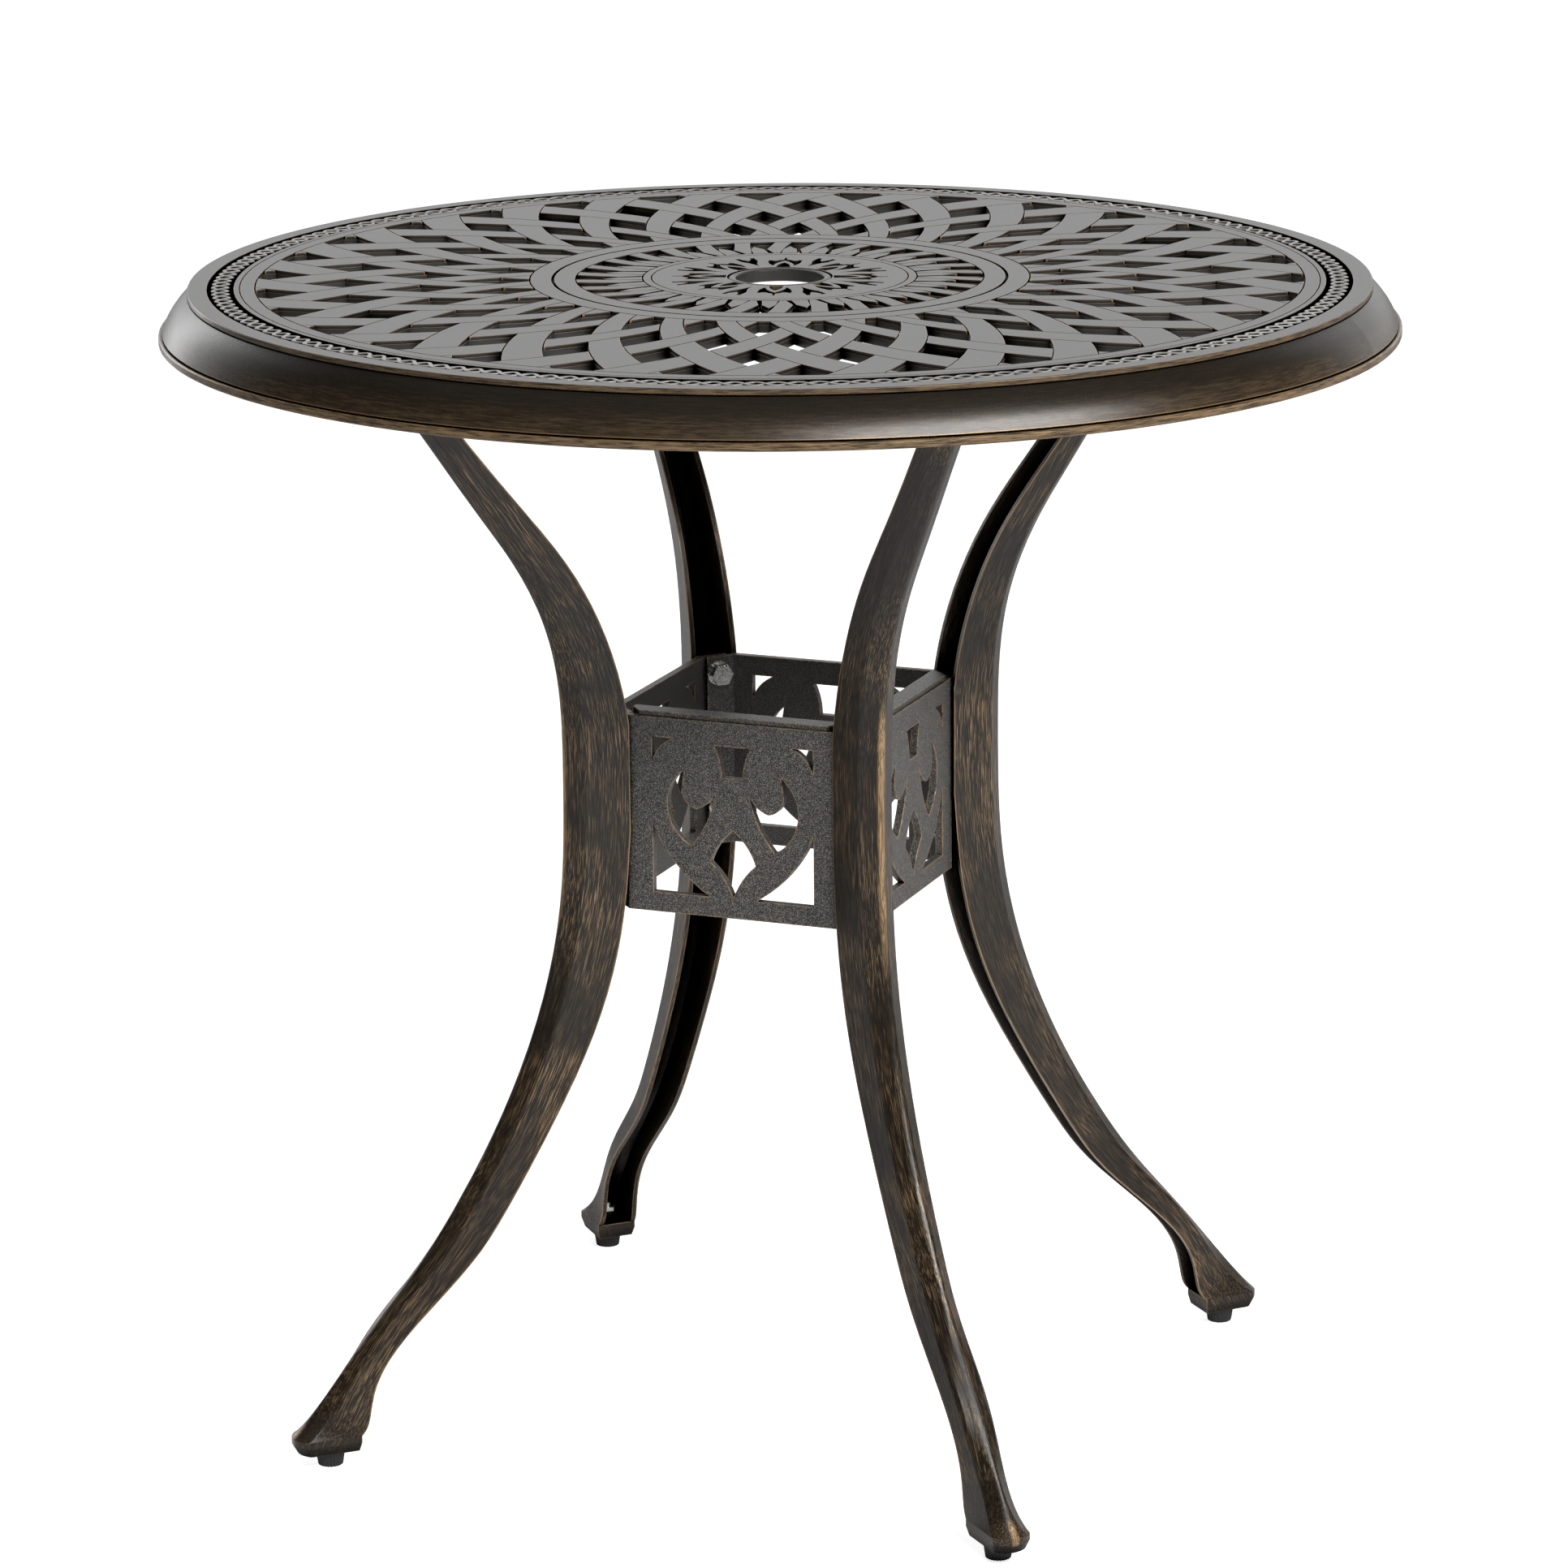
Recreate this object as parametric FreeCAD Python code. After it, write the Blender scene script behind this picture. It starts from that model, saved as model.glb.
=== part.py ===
"""Round cast patio table with an umbrella hole, four bowed channel legs and a pierced brace box.

Millimetres, +Z up. The origin is on the floor, under the middle of the table. The brace panels
face along X and Y, and the legs stand on the diagonals.
"""
import FreeCAD
import Part
import math
import os

Vector = FreeCAD.Vector
UP = Vector(0, 0, 1)
CENTRE = Vector(0, 0, 0)

# Whole table
TOP_DIAMETER = 780.0
TABLE_HEIGHT = 743.3

# Tabletop casting, bands from the edge inwards
RIM_OVERHANG = 18.6
LIP_BAND_WIDTH = 12.3
BRAID_BAND_WIDTH = 16.9
BRAID_BAND_DEPTH = 1.5
BRAID_BEAD_WIDTH = 3.2
BRAID_BEAD_GROOVE = 0.8
INNER_BAND_WIDTH = 12.7
RIM_HEIGHT = 32.5
RIM_WALL = 5.0
RIM_FLANGE_THICKNESS = 8.0
RIM_LIP_HEIGHT = 5.2
RIM_LIP_STEP = 2.3
RIM_BEAD_HEIGHT = 3.2
RIM_BEAD_STEP = 1.0
RIM_EDGE = 0.9
RIM_CORNER_BULGE = 0.27
RIM_FLANK_BULGE = 1.8

# Tabletop casting, bands from the hole outwards
UMBRELLA_HOLE_DIAMETER = 56.0
COLLAR_WALL = 4.4
COLLAR_DEPTH = 8.0
ROSETTE_WIDTH = 43.3
HUB_RING_WIDTH = 10.2
HUB_RING_GROOVE = 0.9
BLADE_BAND_WIDTH = 43.0
CENTRE_RING_WIDTH = 27.8
CENTRE_RING_GROOVE = 2.0

# Relief of the openwork plate
PLATE_THICKNESS = 5.0
STRIP_RELIEF = 2.0
STRIP_EDGE = 0.5
BAND_GROOVE = 1.0

# Woven lattice
STRIP_COUNT = 30
STRIP_ROWS = 4
FIRST_ROW_INSET = 7.6
LAST_ROW_INSET = 20.3
STRIP_ANGLE_OUTSIDE = 5.85
STRIP_ANGLE_INSIDE = 4.6
LATTICE_PHASE = 11.0

# Bent blades and rosette
BLADE_COUNT = 30
BLADE_PHASE = 3.4
BLADE_BEND_SHARE = 0.37
LEAF_TIP_SHARE = 0.60
BLADE_FILLET_INSIDE = 2.0
BLADE_FILLET_OUTSIDE = 0.6
ROSETTE_COUNT = 8
ROSETTE_PHASE = 18.0

# Legs
LEG_COUNT = 4
LEG_WALL = 3.4
LEG_DEPTH_WAIST = 39.3
LEG_DEPTH_TOP = 16.0
LEG_DEPTH_ANKLE = 20.5
LEG_DEPTH_FLARE = 33.4
LEG_HALF_WIDTH_WAIST = 16.3
LEG_HALF_WIDTH_TOP = 12.5
LEG_HALF_WIDTH_FOOT = 13.2
LEG_SHOULDER_WIDTH = 0.7
LEG_SHOULDER_DEPTH = 0.25
LEG_RIDGE_HALF_WIDTH = 1.6
FOOT_SHOULDER_WIDTH = 0.9
FOOT_SHOULDER_DEPTH = 0.13
FOOT_RIDGE_HALF_WIDTH = 5.0
LEG_SHOULDER_RADIUS = 4.0
WAIST_RIDGE_RADIUS = 152.5
WAIST_LENGTH = 70.0
UPPER_BEND_SHARE = 0.447
LOWER_BEND_RADIUS = 361.0
LEG_TOP_INSET = 43.5
LEG_STATIONS = 6

# Foot block and levelling glide
FOOT_RADIUS = 320.0
FOOT_LENGTH = 42.0
FOOT_TOE_REACH = 25.0
FOOT_WIDTH = 28.0
FOOT_HEIGHT = 10.3
FOOT_CHAMFER = 3.5
FOOT_SIDE_CHAMFER = 1.75
FOOT_BACK_CHAMFER = 1.4
FOOT_EDGE_SHARE = 0.4
ANKLE_HEIGHT = 43.0
FLARE_HEIGHT = 16.0
FLARE_RADIUS = 330.0
FLARE_LEAN = 10.0
FOOT_BOSS_DIAMETER = 14.0
INSERT_DIAMETER = 9.0
INSERT_LENGTH = 15.0
GLIDE_DIAMETER = 19.0
GLIDE_FOOT_DIAMETER = 16.0
GLIDE_HEIGHT = 9.7
GLIDE_RIBS = 24
GLIDE_RIB_DEPTH = 0.6
GLIDE_FLOOR = 2.0
GLIDE_GAP = 0.3
STUD_DIAMETER = 6.0
STUD_THREAD_OUT = 3.0
LOCK_NUT_FLATS = 10.0
LOCK_NUT_HEIGHT = 3.2
NUT_POCKET_CLEARANCE = 0.5
RUNNING_CLEARANCE = 0.05

# Leg flange and its pad under the tabletop
LEG_FLANGE_LENGTH = 36.0
LEG_FLANGE_EDGE = 6.0
LEG_FLANGE_THICKNESS = 6.0
LEG_FLANGE_SETBACK = 11.0
LEG_FLANGE_CORNER = 8.0
TOP_PAD_MARGIN = 4.0
TOP_PAD_HEIGHT = 10.0
TOP_PAD_OVERLAP = 1.0
SPANNER_ROOM = 7.5
TOP_THREAD_DEPTH = 8.4
TAPPED_HOLE_SPARE = 1.6

# Brace box
BOX_TOP_DROP = 265.7
PANEL_HEIGHT = 127.3
PANEL_CORNER_INSET = 4.1
PANEL_THICKNESS = 5.0
PANEL_FLANGE_THICKNESS = 3.0
PANEL_FLANGE_OVERLAP = 7.6
PANEL_LEDGE_DEPTH = 14.0
PANEL_LEDGE_THICKNESS = 5.0
PANEL_LEDGE_RISE = 3.3
PANEL_LEDGE_SETBACK = 1.5
PANEL_LEDGE_GAP = 4.0
PANEL_LEDGE_MITRE_GAP = 1.0
PANEL_BORDER = 12.9
PANEL_SIDE_BORDER = 16.9
BOX_ABOVE_WAIST = 9.3
LEG_BOSS_DIAMETER = 17.0
LEG_BOSS_LENGTH = 28.0
BRACE_BOLT_RISE = 26.0
BRACE_BOLT_DROP = 11.0
BRACE_THREAD_DEPTH = 12.0

# Bolts and washers
BOLT_DIAMETER = 8.0
BOLT_HEAD_FLATS = 13.0
BOLT_HEAD_HEIGHT = 5.3
BOLT_HOLE_CLEARANCE = 0.5
FLAT_WASHER_DIAMETER = 16.0
FLAT_WASHER_THICKNESS = 1.6
SPRING_WASHER_DIAMETER = 13.6
SPRING_WASHER_THICKNESS = 2.0
SPRING_WASHER_SLIT = 1.6
WASHER_CLEARANCE = 0.2

# Radii that follow
TOP_RADIUS = TOP_DIAMETER / 2
LIP_RADIUS = TOP_RADIUS - RIM_OVERHANG
BRAID_OUTER_RADIUS = LIP_RADIUS - LIP_BAND_WIDTH
BRAID_INNER_RADIUS = BRAID_OUTER_RADIUS - BRAID_BAND_WIDTH
LATTICE_OUTER_RADIUS = BRAID_INNER_RADIUS - INNER_BAND_WIDTH
HOLE_RADIUS = UMBRELLA_HOLE_DIAMETER / 2
COLLAR_RADIUS = HOLE_RADIUS + COLLAR_WALL
HUB_INNER_RADIUS = COLLAR_RADIUS + ROSETTE_WIDTH
HUB_OUTER_RADIUS = HUB_INNER_RADIUS + HUB_RING_WIDTH
RING_INNER_RADIUS = HUB_OUTER_RADIUS + BLADE_BAND_WIDTH
LATTICE_INNER_RADIUS = RING_INNER_RADIUS + CENTRE_RING_WIDTH

# Heights that follow
RELIEF_BOTTOM = TABLE_HEIGHT - STRIP_RELIEF
PLATE_BOTTOM = RELIEF_BOTTOM - PLATE_THICKNESS
FLANGE_TOP = PLATE_BOTTOM - TOP_PAD_HEIGHT
FLANGE_BOTTOM = FLANGE_TOP - LEG_FLANGE_THICKNESS
BOX_TOP = TABLE_HEIGHT - BOX_TOP_DROP
PANEL_TOP = BOX_TOP - PANEL_LEDGE_RISE
BOX_BOTTOM = PANEL_TOP - PANEL_HEIGHT
WAIST_TOP = BOX_TOP - BOX_ABOVE_WAIST
WAIST_BOTTOM = WAIST_TOP - WAIST_LENGTH
FOOT_BOTTOM = GLIDE_HEIGHT + GLIDE_GAP
FOOT_TOP = FOOT_BOTTOM + FOOT_HEIGHT
INSERT_TOP = FOOT_BOTTOM + INSERT_LENGTH
STUD_TOP = INSERT_TOP + LOCK_NUT_HEIGHT + STUD_THREAD_OUT

# Places that follow
LEG_BACK_RADIUS = WAIST_RIDGE_RADIUS - LEG_DEPTH_WAIST
LEG_TOP_RADIUS = LATTICE_OUTER_RADIUS - LEG_TOP_INSET
FLANGE_RADIUS = LEG_TOP_RADIUS - LEG_FLANGE_SETBACK
TOP_BOLT_OFFSET = LEG_HALF_WIDTH_TOP + SPANNER_ROOM + FLAT_WASHER_DIAMETER / 2
LEG_FLANGE_WIDTH = 2 * (TOP_BOLT_OFFSET + FLAT_WASHER_DIAMETER / 2 + LEG_FLANGE_EDGE)
FOOT_RIDGE_RADIUS = FOOT_RADIUS + FOOT_TOE_REACH
PANEL_CORNER_HALF = LEG_HALF_WIDTH_WAIST - PANEL_CORNER_INSET
PANEL_FACE_DISTANCE = (LEG_BACK_RADIUS + PANEL_CORNER_HALF) / math.sqrt(2)
PANEL_HALF_WIDTH = PANEL_FACE_DISTANCE - math.sqrt(2) * PANEL_CORNER_HALF
BRACE_BOLT_HEIGHTS = (BOX_BOTTOM + BRACE_BOLT_RISE, PANEL_TOP - BRACE_BOLT_DROP)

# Lattice angles that follow, in degrees
STRIP_PITCH = 360.0 / STRIP_COUNT
LATTICE_WIDTH = LATTICE_OUTER_RADIUS - LATTICE_INNER_RADIUS
ROW_PITCH = (LATTICE_WIDTH - FIRST_ROW_INSET - LAST_ROW_INSET) / (STRIP_ROWS - 1)
TWIST = STRIP_PITCH / 2 / ROW_PITCH
FALLING_PHASE = LATTICE_PHASE + 2 * TWIST * FIRST_ROW_INSET

# Shares of the half width and depth at the shoulders, and half the width of the ridge
LEG_NOSE = (LEG_SHOULDER_WIDTH, LEG_SHOULDER_DEPTH, LEG_RIDGE_HALF_WIDTH)
FOOT_NOSE = (FOOT_SHOULDER_WIDTH, FOOT_SHOULDER_DEPTH, FOOT_RIDGE_HALF_WIDTH)

RISING = 1
FALLING = -1
CROSSING_STEPS = 8
BEND_STEPS = 40
SHORTEST_EDGE = 0.01
CUT_SPARE = 1.0

LEG_NAMES = ("rear_right", "rear_left", "front_left", "front_right")
PANEL_NAMES = ("front", "right", "rear", "left")
LEDGED_PANELS = ("front", "right")


# General helpers

def polar(radius, degrees, height=0.0):
    angle = math.radians(degrees)
    return Vector(radius * math.cos(angle), radius * math.sin(angle), height)


def turned(shape, degrees):
    copy = shape.copy()
    copy.rotate(CENTRE, UP, degrees)
    return copy


def circle(radius, height=0.0):
    return Part.Wire([Part.makeCircle(radius, Vector(0, 0, height))])


def polygon(points):
    return Part.makePolygon(list(points) + [points[0]])


def arc(start, through, end):
    return Part.Arc(start, through, end).toShape()


def curve(point_at, start, end):
    """Arc through three points of a nearly circular path."""
    return Part.Arc(point_at(start), point_at((start + end) / 2), point_at(end)).toShape()


def revolved(points):
    """Solid of revolution about Z of a closed outline of (radius, height) points and bulges.

    A point with a third value is reached by an arc that bulges by that much from the straight
    line, to its left."""
    edges = []
    for first, second in zip(points, points[1:] + points[:1]):
        start = Vector(first[0], 0, first[1])
        end = Vector(second[0], 0, second[1])
        if len(second) == 3:
            run = end - start
            side = Vector(-run.z, 0, run.x).normalize()
            middle = (start + end) * 0.5 + side * second[2]
            edges.append(Part.Arc(start, middle, end).toShape())
        else:
            edges.append(Part.makeLine(start, end))
    return Part.Face(Part.Wire(edges)).revolve(CENTRE, UP, 360)


def hexagon(flats, height):
    corner = flats / math.sqrt(3)
    outline = polygon([polar(corner, 30 + 60 * step) for step in range(6)])
    return Part.Face(outline).extrude(Vector(0, 0, height))


# Openwork plate of the tabletop

def strip_half_angle(radius):
    share = (radius - LATTICE_INNER_RADIUS) / LATTICE_WIDTH
    return (STRIP_ANGLE_INSIDE + share * (STRIP_ANGLE_OUTSIDE - STRIP_ANGLE_INSIDE)) / 2


def edge_angle(family, index, side, inset, radius):
    """Angle, at a radius, of one edge of a lattice strip.

    Family +1 winds up going inwards, and family -1 winds down. Side is -1 or +1, and inset moves
    the edge towards the middle of its strip, in millimetres along the circle."""
    phase = LATTICE_PHASE if family > 0 else FALLING_PHASE
    offset = strip_half_angle(radius) - math.degrees(inset / radius)
    wound = family * TWIST * (LATTICE_OUTER_RADIUS - radius)
    return phase + index * STRIP_PITCH + wound + side * offset


def crossing_radius(rising, falling, row):
    """Radius where an edge of a rising strip meets an edge of a falling strip near a row."""
    radius = LATTICE_OUTER_RADIUS - FIRST_ROW_INSET - row * ROW_PITCH
    for _ in range(CROSSING_STEPS):
        apart = edge_angle(FALLING, *falling, radius) - edge_angle(RISING, *rising, radius)
        radius -= apart / (2 * TWIST)
    return radius


def strip_edge(family, edge, start, end):
    return curve(lambda radius: polar(radius, edge_angle(family, *edge, radius)), start, end)


def closed_on_circles(edges):
    """Wire of the edges in turn, with an arc about the table's middle over each gap."""
    whole = []
    for edge, following in zip(edges, edges[1:] + edges[:1]):
        whole.append(edge)
        start = edge.lastVertex(True).Point
        end = following.firstVertex(True).Point
        if start.distanceToPoint(end) > SHORTEST_EDGE:
            middle = (start + end).normalize() * start.Length
            whole.append(Part.Arc(start, middle, end).toShape())
    return Part.Wire(whole)


def cell(rising, falling, row, edge_gap):
    """Outline between two rising and two falling edges, cut off short of both plain bands."""
    outside = LATTICE_OUTER_RADIUS - edge_gap
    inside = LATTICE_INNER_RADIUS + edge_gap
    low, high = rising
    first, last = falling
    sides = ((RISING, low, (low, first), (low, last)),
             (FALLING, last, (low, last), (high, last)),
             (RISING, high, (high, last), (high, first)),
             (FALLING, first, (high, first), (low, first)))
    edges = []
    for family, edge, start_corner, end_corner in sides:
        start = min(max(crossing_radius(*start_corner, row), inside), outside)
        end = min(max(crossing_radius(*end_corner, row), inside), outside)
        if abs(start - end) > SHORTEST_EDGE:
            edges.append(strip_edge(family, edge, start, end))
    return closed_on_circles(edges)


def between(first, last, inset):
    """The two facing edges of strips first and last."""
    return (first, 1, inset), (last, -1, inset)


def strip_sides(index):
    return (index, -1, STRIP_EDGE), (index, 1, STRIP_EDGE)


def lattice_holes():
    holes = []
    for row in range(STRIP_ROWS):
        for index in range(STRIP_COUNT):
            rising = between(index, index + 1, 0.0)
            falling = between(index + row, index + row + 1, 0.0)
            holes.append(cell(rising, falling, row, STRIP_EDGE))
    return holes


def lattice_pads():
    """Raised length of the upper strip at each crossing, with the cut ends at both bands."""
    pads = []
    for row in range(-1, STRIP_ROWS + 1):
        for index in range(STRIP_COUNT):
            other = index + row
            rising = strip_sides(index)
            falling = between(other - 1, other + 1, -STRIP_EDGE)
            if row % 2:
                rising = between(index - 1, index + 1, -STRIP_EDGE)
                falling = strip_sides(other)
            pads.append(cell(rising, falling, row, BAND_GROOVE))
    return pads


def blade_shapes():
    """Through holes and raised outlines of the ring of bent blades and pointed leaves.

    Each point is an angle from the blade's root and a radius."""
    pitch = 360.0 / BLADE_COUNT
    bend = HUB_OUTER_RADIUS + BLADE_BEND_SHARE * BLADE_BAND_WIDTH
    leaf_tip = HUB_OUTER_RADIUS + LEAF_TIP_SHARE * BLADE_BAND_WIDTH
    inner = HUB_OUTER_RADIUS + BAND_GROOVE
    outer = RING_INNER_RADIUS - BAND_GROOVE
    hole_inner = HUB_OUTER_RADIUS + BLADE_FILLET_INSIDE
    hole_outer = RING_INNER_RADIUS - BLADE_FILLET_OUTSIDE
    hole = [(2.9 - pitch, hole_inner), (5.0 - pitch, bend), (1.6 - pitch, hole_outer), (-3.6, hole_outer),
            (-3.4, leaf_tip + BLADE_FILLET_INSIDE), (-6.5, bend), (-7.5, hole_inner)]
    blade = [(0.1, inner), (2.5, inner), (4.6, bend), (1.3, outer), (-3.3, outer), (-2.0, leaf_tip)]
    leaf = [(-7.2, inner), (-0.7, inner), (-1.5, bend), (-3.3, leaf_tip), (-6.1, bend)]
    holes = []
    pads = []
    for index in range(BLADE_COUNT):
        turn = BLADE_PHASE + index * pitch
        holes.append(polygon([polar(radius, turn + angle) for angle, radius in hole]))
        for outline in (blade, leaf):
            pads.append(polygon([polar(radius, turn + angle) for angle, radius in outline]))
    return holes, pads


def rosette_outline(points, turn):
    """Closed outline of (across, outwards) points. A point with a third value ends an arc that
    bulges by that much to the left of the straight line."""
    edges = []
    for first, second in zip(points, points[1:] + points[:1]):
        start = Vector(COLLAR_RADIUS + first[1], -first[0], 0)
        end = Vector(COLLAR_RADIUS + second[1], -second[0], 0)
        if len(second) == 3:
            run = end - start
            middle = (start + end) * 0.5 + Vector(-run.y, run.x, 0).normalize() * second[2]
            edges.append(Part.Arc(start, middle, end).toShape())
        else:
            edges.append(Part.makeLine(start, end))
    return turned(Part.Wire(edges), turn)


def rosette_holes():
    """Openings of the eight lyre motifs and of the gaps between them."""
    reach = ROSETTE_WIDTH
    under_arch = [(-4.6, 1.5), (-4.2, 5.0), (0.0, 0.42 * reach, 1.2), (4.2, 5.0, 1.2), (4.6, 1.5)]
    over_arch = [(-6.6, 0.17 * reach, -1.4), (-10.6, 0.52 * reach, 1.2), (-9.0, 0.63 * reach, 1.0),
                 (-4.0, 0.63 * reach, -2.2), (-1.0, 0.68 * reach), (-0.5, 0.83 * reach),
                 (0.5, 0.83 * reach), (1.0, 0.68 * reach), (4.0, 0.63 * reach),
                 (9.0, 0.63 * reach, -2.2), (10.6, 0.52 * reach, 1.0), (6.6, 0.17 * reach, 1.2),
                 (0.0, 0.58 * reach, -1.4)]
    beside = [(0.0, 0.14 * reach, -1.2), (-5.6, 0.60 * reach, -1.2), (-6.4, 0.86 * reach),
              (-3.4, 0.86 * reach), (0.0, 0.66 * reach, -1.0), (3.4, 0.86 * reach, -1.0),
              (6.4, 0.86 * reach), (5.6, 0.60 * reach)]
    pitch = 360.0 / ROSETTE_COUNT
    holes = []
    for index in range(ROSETTE_COUNT):
        turn = ROSETTE_PHASE + index * pitch
        holes.append(rosette_outline(under_arch, turn))
        holes.append(rosette_outline(over_arch, turn))
        holes.append(rosette_outline(beside, turn + pitch / 2))
    return holes


def faces_at(wires, height):
    placed = [wire.translated(Vector(0, 0, height)) for wire in wires]
    return Part.makeFace(placed, "Part::FaceMakerBullseye").Faces


def walls(wires, bottom, top):
    faces = []
    for wire in wires:
        faces += wire.translated(Vector(0, 0, bottom)).extrude(Vector(0, 0, top - bottom)).Faces
    return faces


def openwork_plate():
    """Pierced plate with raised strips, sewn from its level faces and upright walls."""
    in_collar = HOLE_RADIUS + COLLAR_WALL / 2
    border = [circle(LATTICE_OUTER_RADIUS + RIM_WALL), circle(in_collar)]
    blade_holes, blade_pads = blade_shapes()
    holes = lattice_holes() + blade_holes
    rosette = rosette_holes()
    hub_groove = HUB_INNER_RADIUS + HUB_RING_WIDTH / 2
    ring_groove = RING_INNER_RADIUS + CENTRE_RING_WIDTH / 2
    bands = [(hub_groove - HUB_RING_GROOVE / 2, COLLAR_RADIUS + BAND_GROOVE),
             (HUB_OUTER_RADIUS, hub_groove + HUB_RING_GROOVE / 2),
             (ring_groove - CENTRE_RING_GROOVE / 2, RING_INNER_RADIUS),
             (LATTICE_INNER_RADIUS, ring_groove + CENTRE_RING_GROOVE / 2)]
    outlines = [[circle(outer), circle(inner)] for outer, inner in bands]
    raised = lattice_pads() + blade_pads
    every_outline = raised + [wire for pair in outlines for wire in pair]
    faces = faces_at(border + holes + rosette, PLATE_BOTTOM)
    faces += faces_at(border + holes + every_outline, RELIEF_BOTTOM)
    faces += faces_at(outlines[0] + rosette, TABLE_HEIGHT)
    for pair in outlines[1:]:
        faces += faces_at(pair, TABLE_HEIGHT)
    for wire in raised:
        faces.append(Part.Face(wire.translated(Vector(0, 0, TABLE_HEIGHT))))
    faces += walls(border + holes, PLATE_BOTTOM, RELIEF_BOTTOM)
    faces += walls(every_outline, RELIEF_BOTTOM, TABLE_HEIGHT)
    faces += walls(rosette, PLATE_BOTTOM, TABLE_HEIGHT)
    shell = Part.makeShell(faces)
    shell.sewShape()
    solid = Part.makeSolid(shell)
    if solid.Volume < 0:
        solid.reverse()
    return solid


# Rest of the tabletop

def rim():
    """Outer bands and rounded skirt, with the recess for the braid."""
    top = TABLE_HEIGHT
    recess = top - BRAID_BAND_DEPTH
    groove = BRAID_INNER_RADIUS - BRAID_BEAD_WIDTH
    bead = top - RIM_BEAD_HEIGHT
    flank_top = bead - RIM_BEAD_STEP
    lip_top = top - RIM_HEIGHT + RIM_LIP_HEIGHT
    bottom = top - RIM_HEIGHT
    underside = top - RIM_FLANGE_THICKNESS
    lip_inside = TOP_RADIUS - RIM_LIP_STEP
    return revolved([
        (LATTICE_OUTER_RADIUS, underside), (LATTICE_OUTER_RADIUS, top),
        (groove - BRAID_BEAD_GROOVE, top), (groove - BRAID_BEAD_GROOVE, top - BRAID_BEAD_GROOVE),
        (groove, top - BRAID_BEAD_GROOVE), (groove, top), (BRAID_INNER_RADIUS, top),
        (BRAID_INNER_RADIUS, recess), (BRAID_OUTER_RADIUS, recess), (BRAID_OUTER_RADIUS, top),
        (LIP_RADIUS - RIM_EDGE, top), (LIP_RADIUS, top - RIM_EDGE, RIM_CORNER_BULGE),
        (LIP_RADIUS, bead), (LIP_RADIUS - RIM_BEAD_STEP, bead),
        (LIP_RADIUS - RIM_BEAD_STEP, flank_top), (LIP_RADIUS, flank_top),
        (lip_inside, lip_top + RIM_BEAD_STEP, RIM_FLANK_BULGE),
        (lip_inside - RIM_BEAD_STEP, lip_top + RIM_BEAD_STEP), (lip_inside - RIM_BEAD_STEP, lip_top),
        (TOP_RADIUS - RIM_EDGE, lip_top), (TOP_RADIUS, lip_top - RIM_EDGE),
        (TOP_RADIUS, bottom + RIM_EDGE), (TOP_RADIUS - RIM_EDGE, bottom),
        (TOP_RADIUS - RIM_WALL, bottom), (LIP_RADIUS - RIM_WALL, underside)])


def collar():
    """Ring round the umbrella hole, with a rounded top."""
    top = TABLE_HEIGHT - RIM_EDGE
    bottom = TABLE_HEIGHT - COLLAR_DEPTH
    return revolved([(HOLE_RADIUS, bottom), (HOLE_RADIUS, top), (COLLAR_RADIUS, top, RIM_EDGE),
                     (COLLAR_RADIUS, bottom)])


def block(length, width, bottom, top, corner):
    """Upright block about the local X axis, with its corners cut off."""
    x = length / 2
    y = width / 2
    outline = polygon([Vector(x - corner, -y, bottom), Vector(x, corner - y, bottom),
                       Vector(x, y - corner, bottom), Vector(x - corner, y, bottom),
                       Vector(corner - x, y, bottom), Vector(-x, y - corner, bottom),
                       Vector(-x, corner - y, bottom), Vector(corner - x, -y, bottom)])
    return Part.Face(outline).extrude(Vector(0, 0, top - bottom))


def top_bolt_places():
    return [Vector(FLANGE_RADIUS, side * TOP_BOLT_OFFSET, 0) for side in (-1, 1)]


def top_pad():
    """Cast pad under the lattice, with two tapped holes for one leg's flange."""
    margin = 2 * TOP_PAD_MARGIN
    pad = block(LEG_FLANGE_LENGTH + margin, LEG_FLANGE_WIDTH + margin, FLANGE_TOP,
                PLATE_BOTTOM + TOP_PAD_OVERLAP, LEG_FLANGE_CORNER)
    depth = TOP_THREAD_DEPTH + TAPPED_HOLE_SPARE
    radius = BOLT_DIAMETER / 2 + RUNNING_CLEARANCE
    holes = [Part.makeCylinder(radius, depth, place + Vector(0, 0, FLANGE_TOP))
             for place in top_bolt_places()]
    return pad.translated(Vector(FLANGE_RADIUS, 0, 0)).cut(Part.makeCompound(holes))


def tabletop():
    pads = [turned(top_pad(), angle) for angle in leg_angles()]
    return openwork_plate().multiFuse([rim(), collar()] + pads).Solids[0]


# Legs

def leg_angles():
    return [45 + 360.0 / LEG_COUNT * index for index in range(LEG_COUNT)]


def bend_angle(rise, reach, bend_share):
    """Lean of a limb that starts upright, bends over a share of its rise and runs on straight."""
    low = 0.0
    high = math.pi / 2
    for _ in range(BEND_STEPS):
        lean = (low + high) / 2
        across = bend_share * rise * math.tan(lean / 2) + (1 - bend_share) * rise * math.tan(lean)
        if across < reach:
            low = lean
        else:
            high = lean
    return low


def bowed(height, rise, reach, bend_share):
    """Distance across and lean of a bent limb, at a height above the start of its bend."""
    angle = bend_angle(rise, reach, bend_share)
    bend_height = bend_share * rise
    radius = bend_height / math.sin(angle)
    if height < bend_height:
        lean = math.asin(height / radius)
        return radius * (1 - math.cos(lean)), lean
    return radius * (1 - math.cos(angle)) + (height - bend_height) * math.tan(angle), angle


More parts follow.
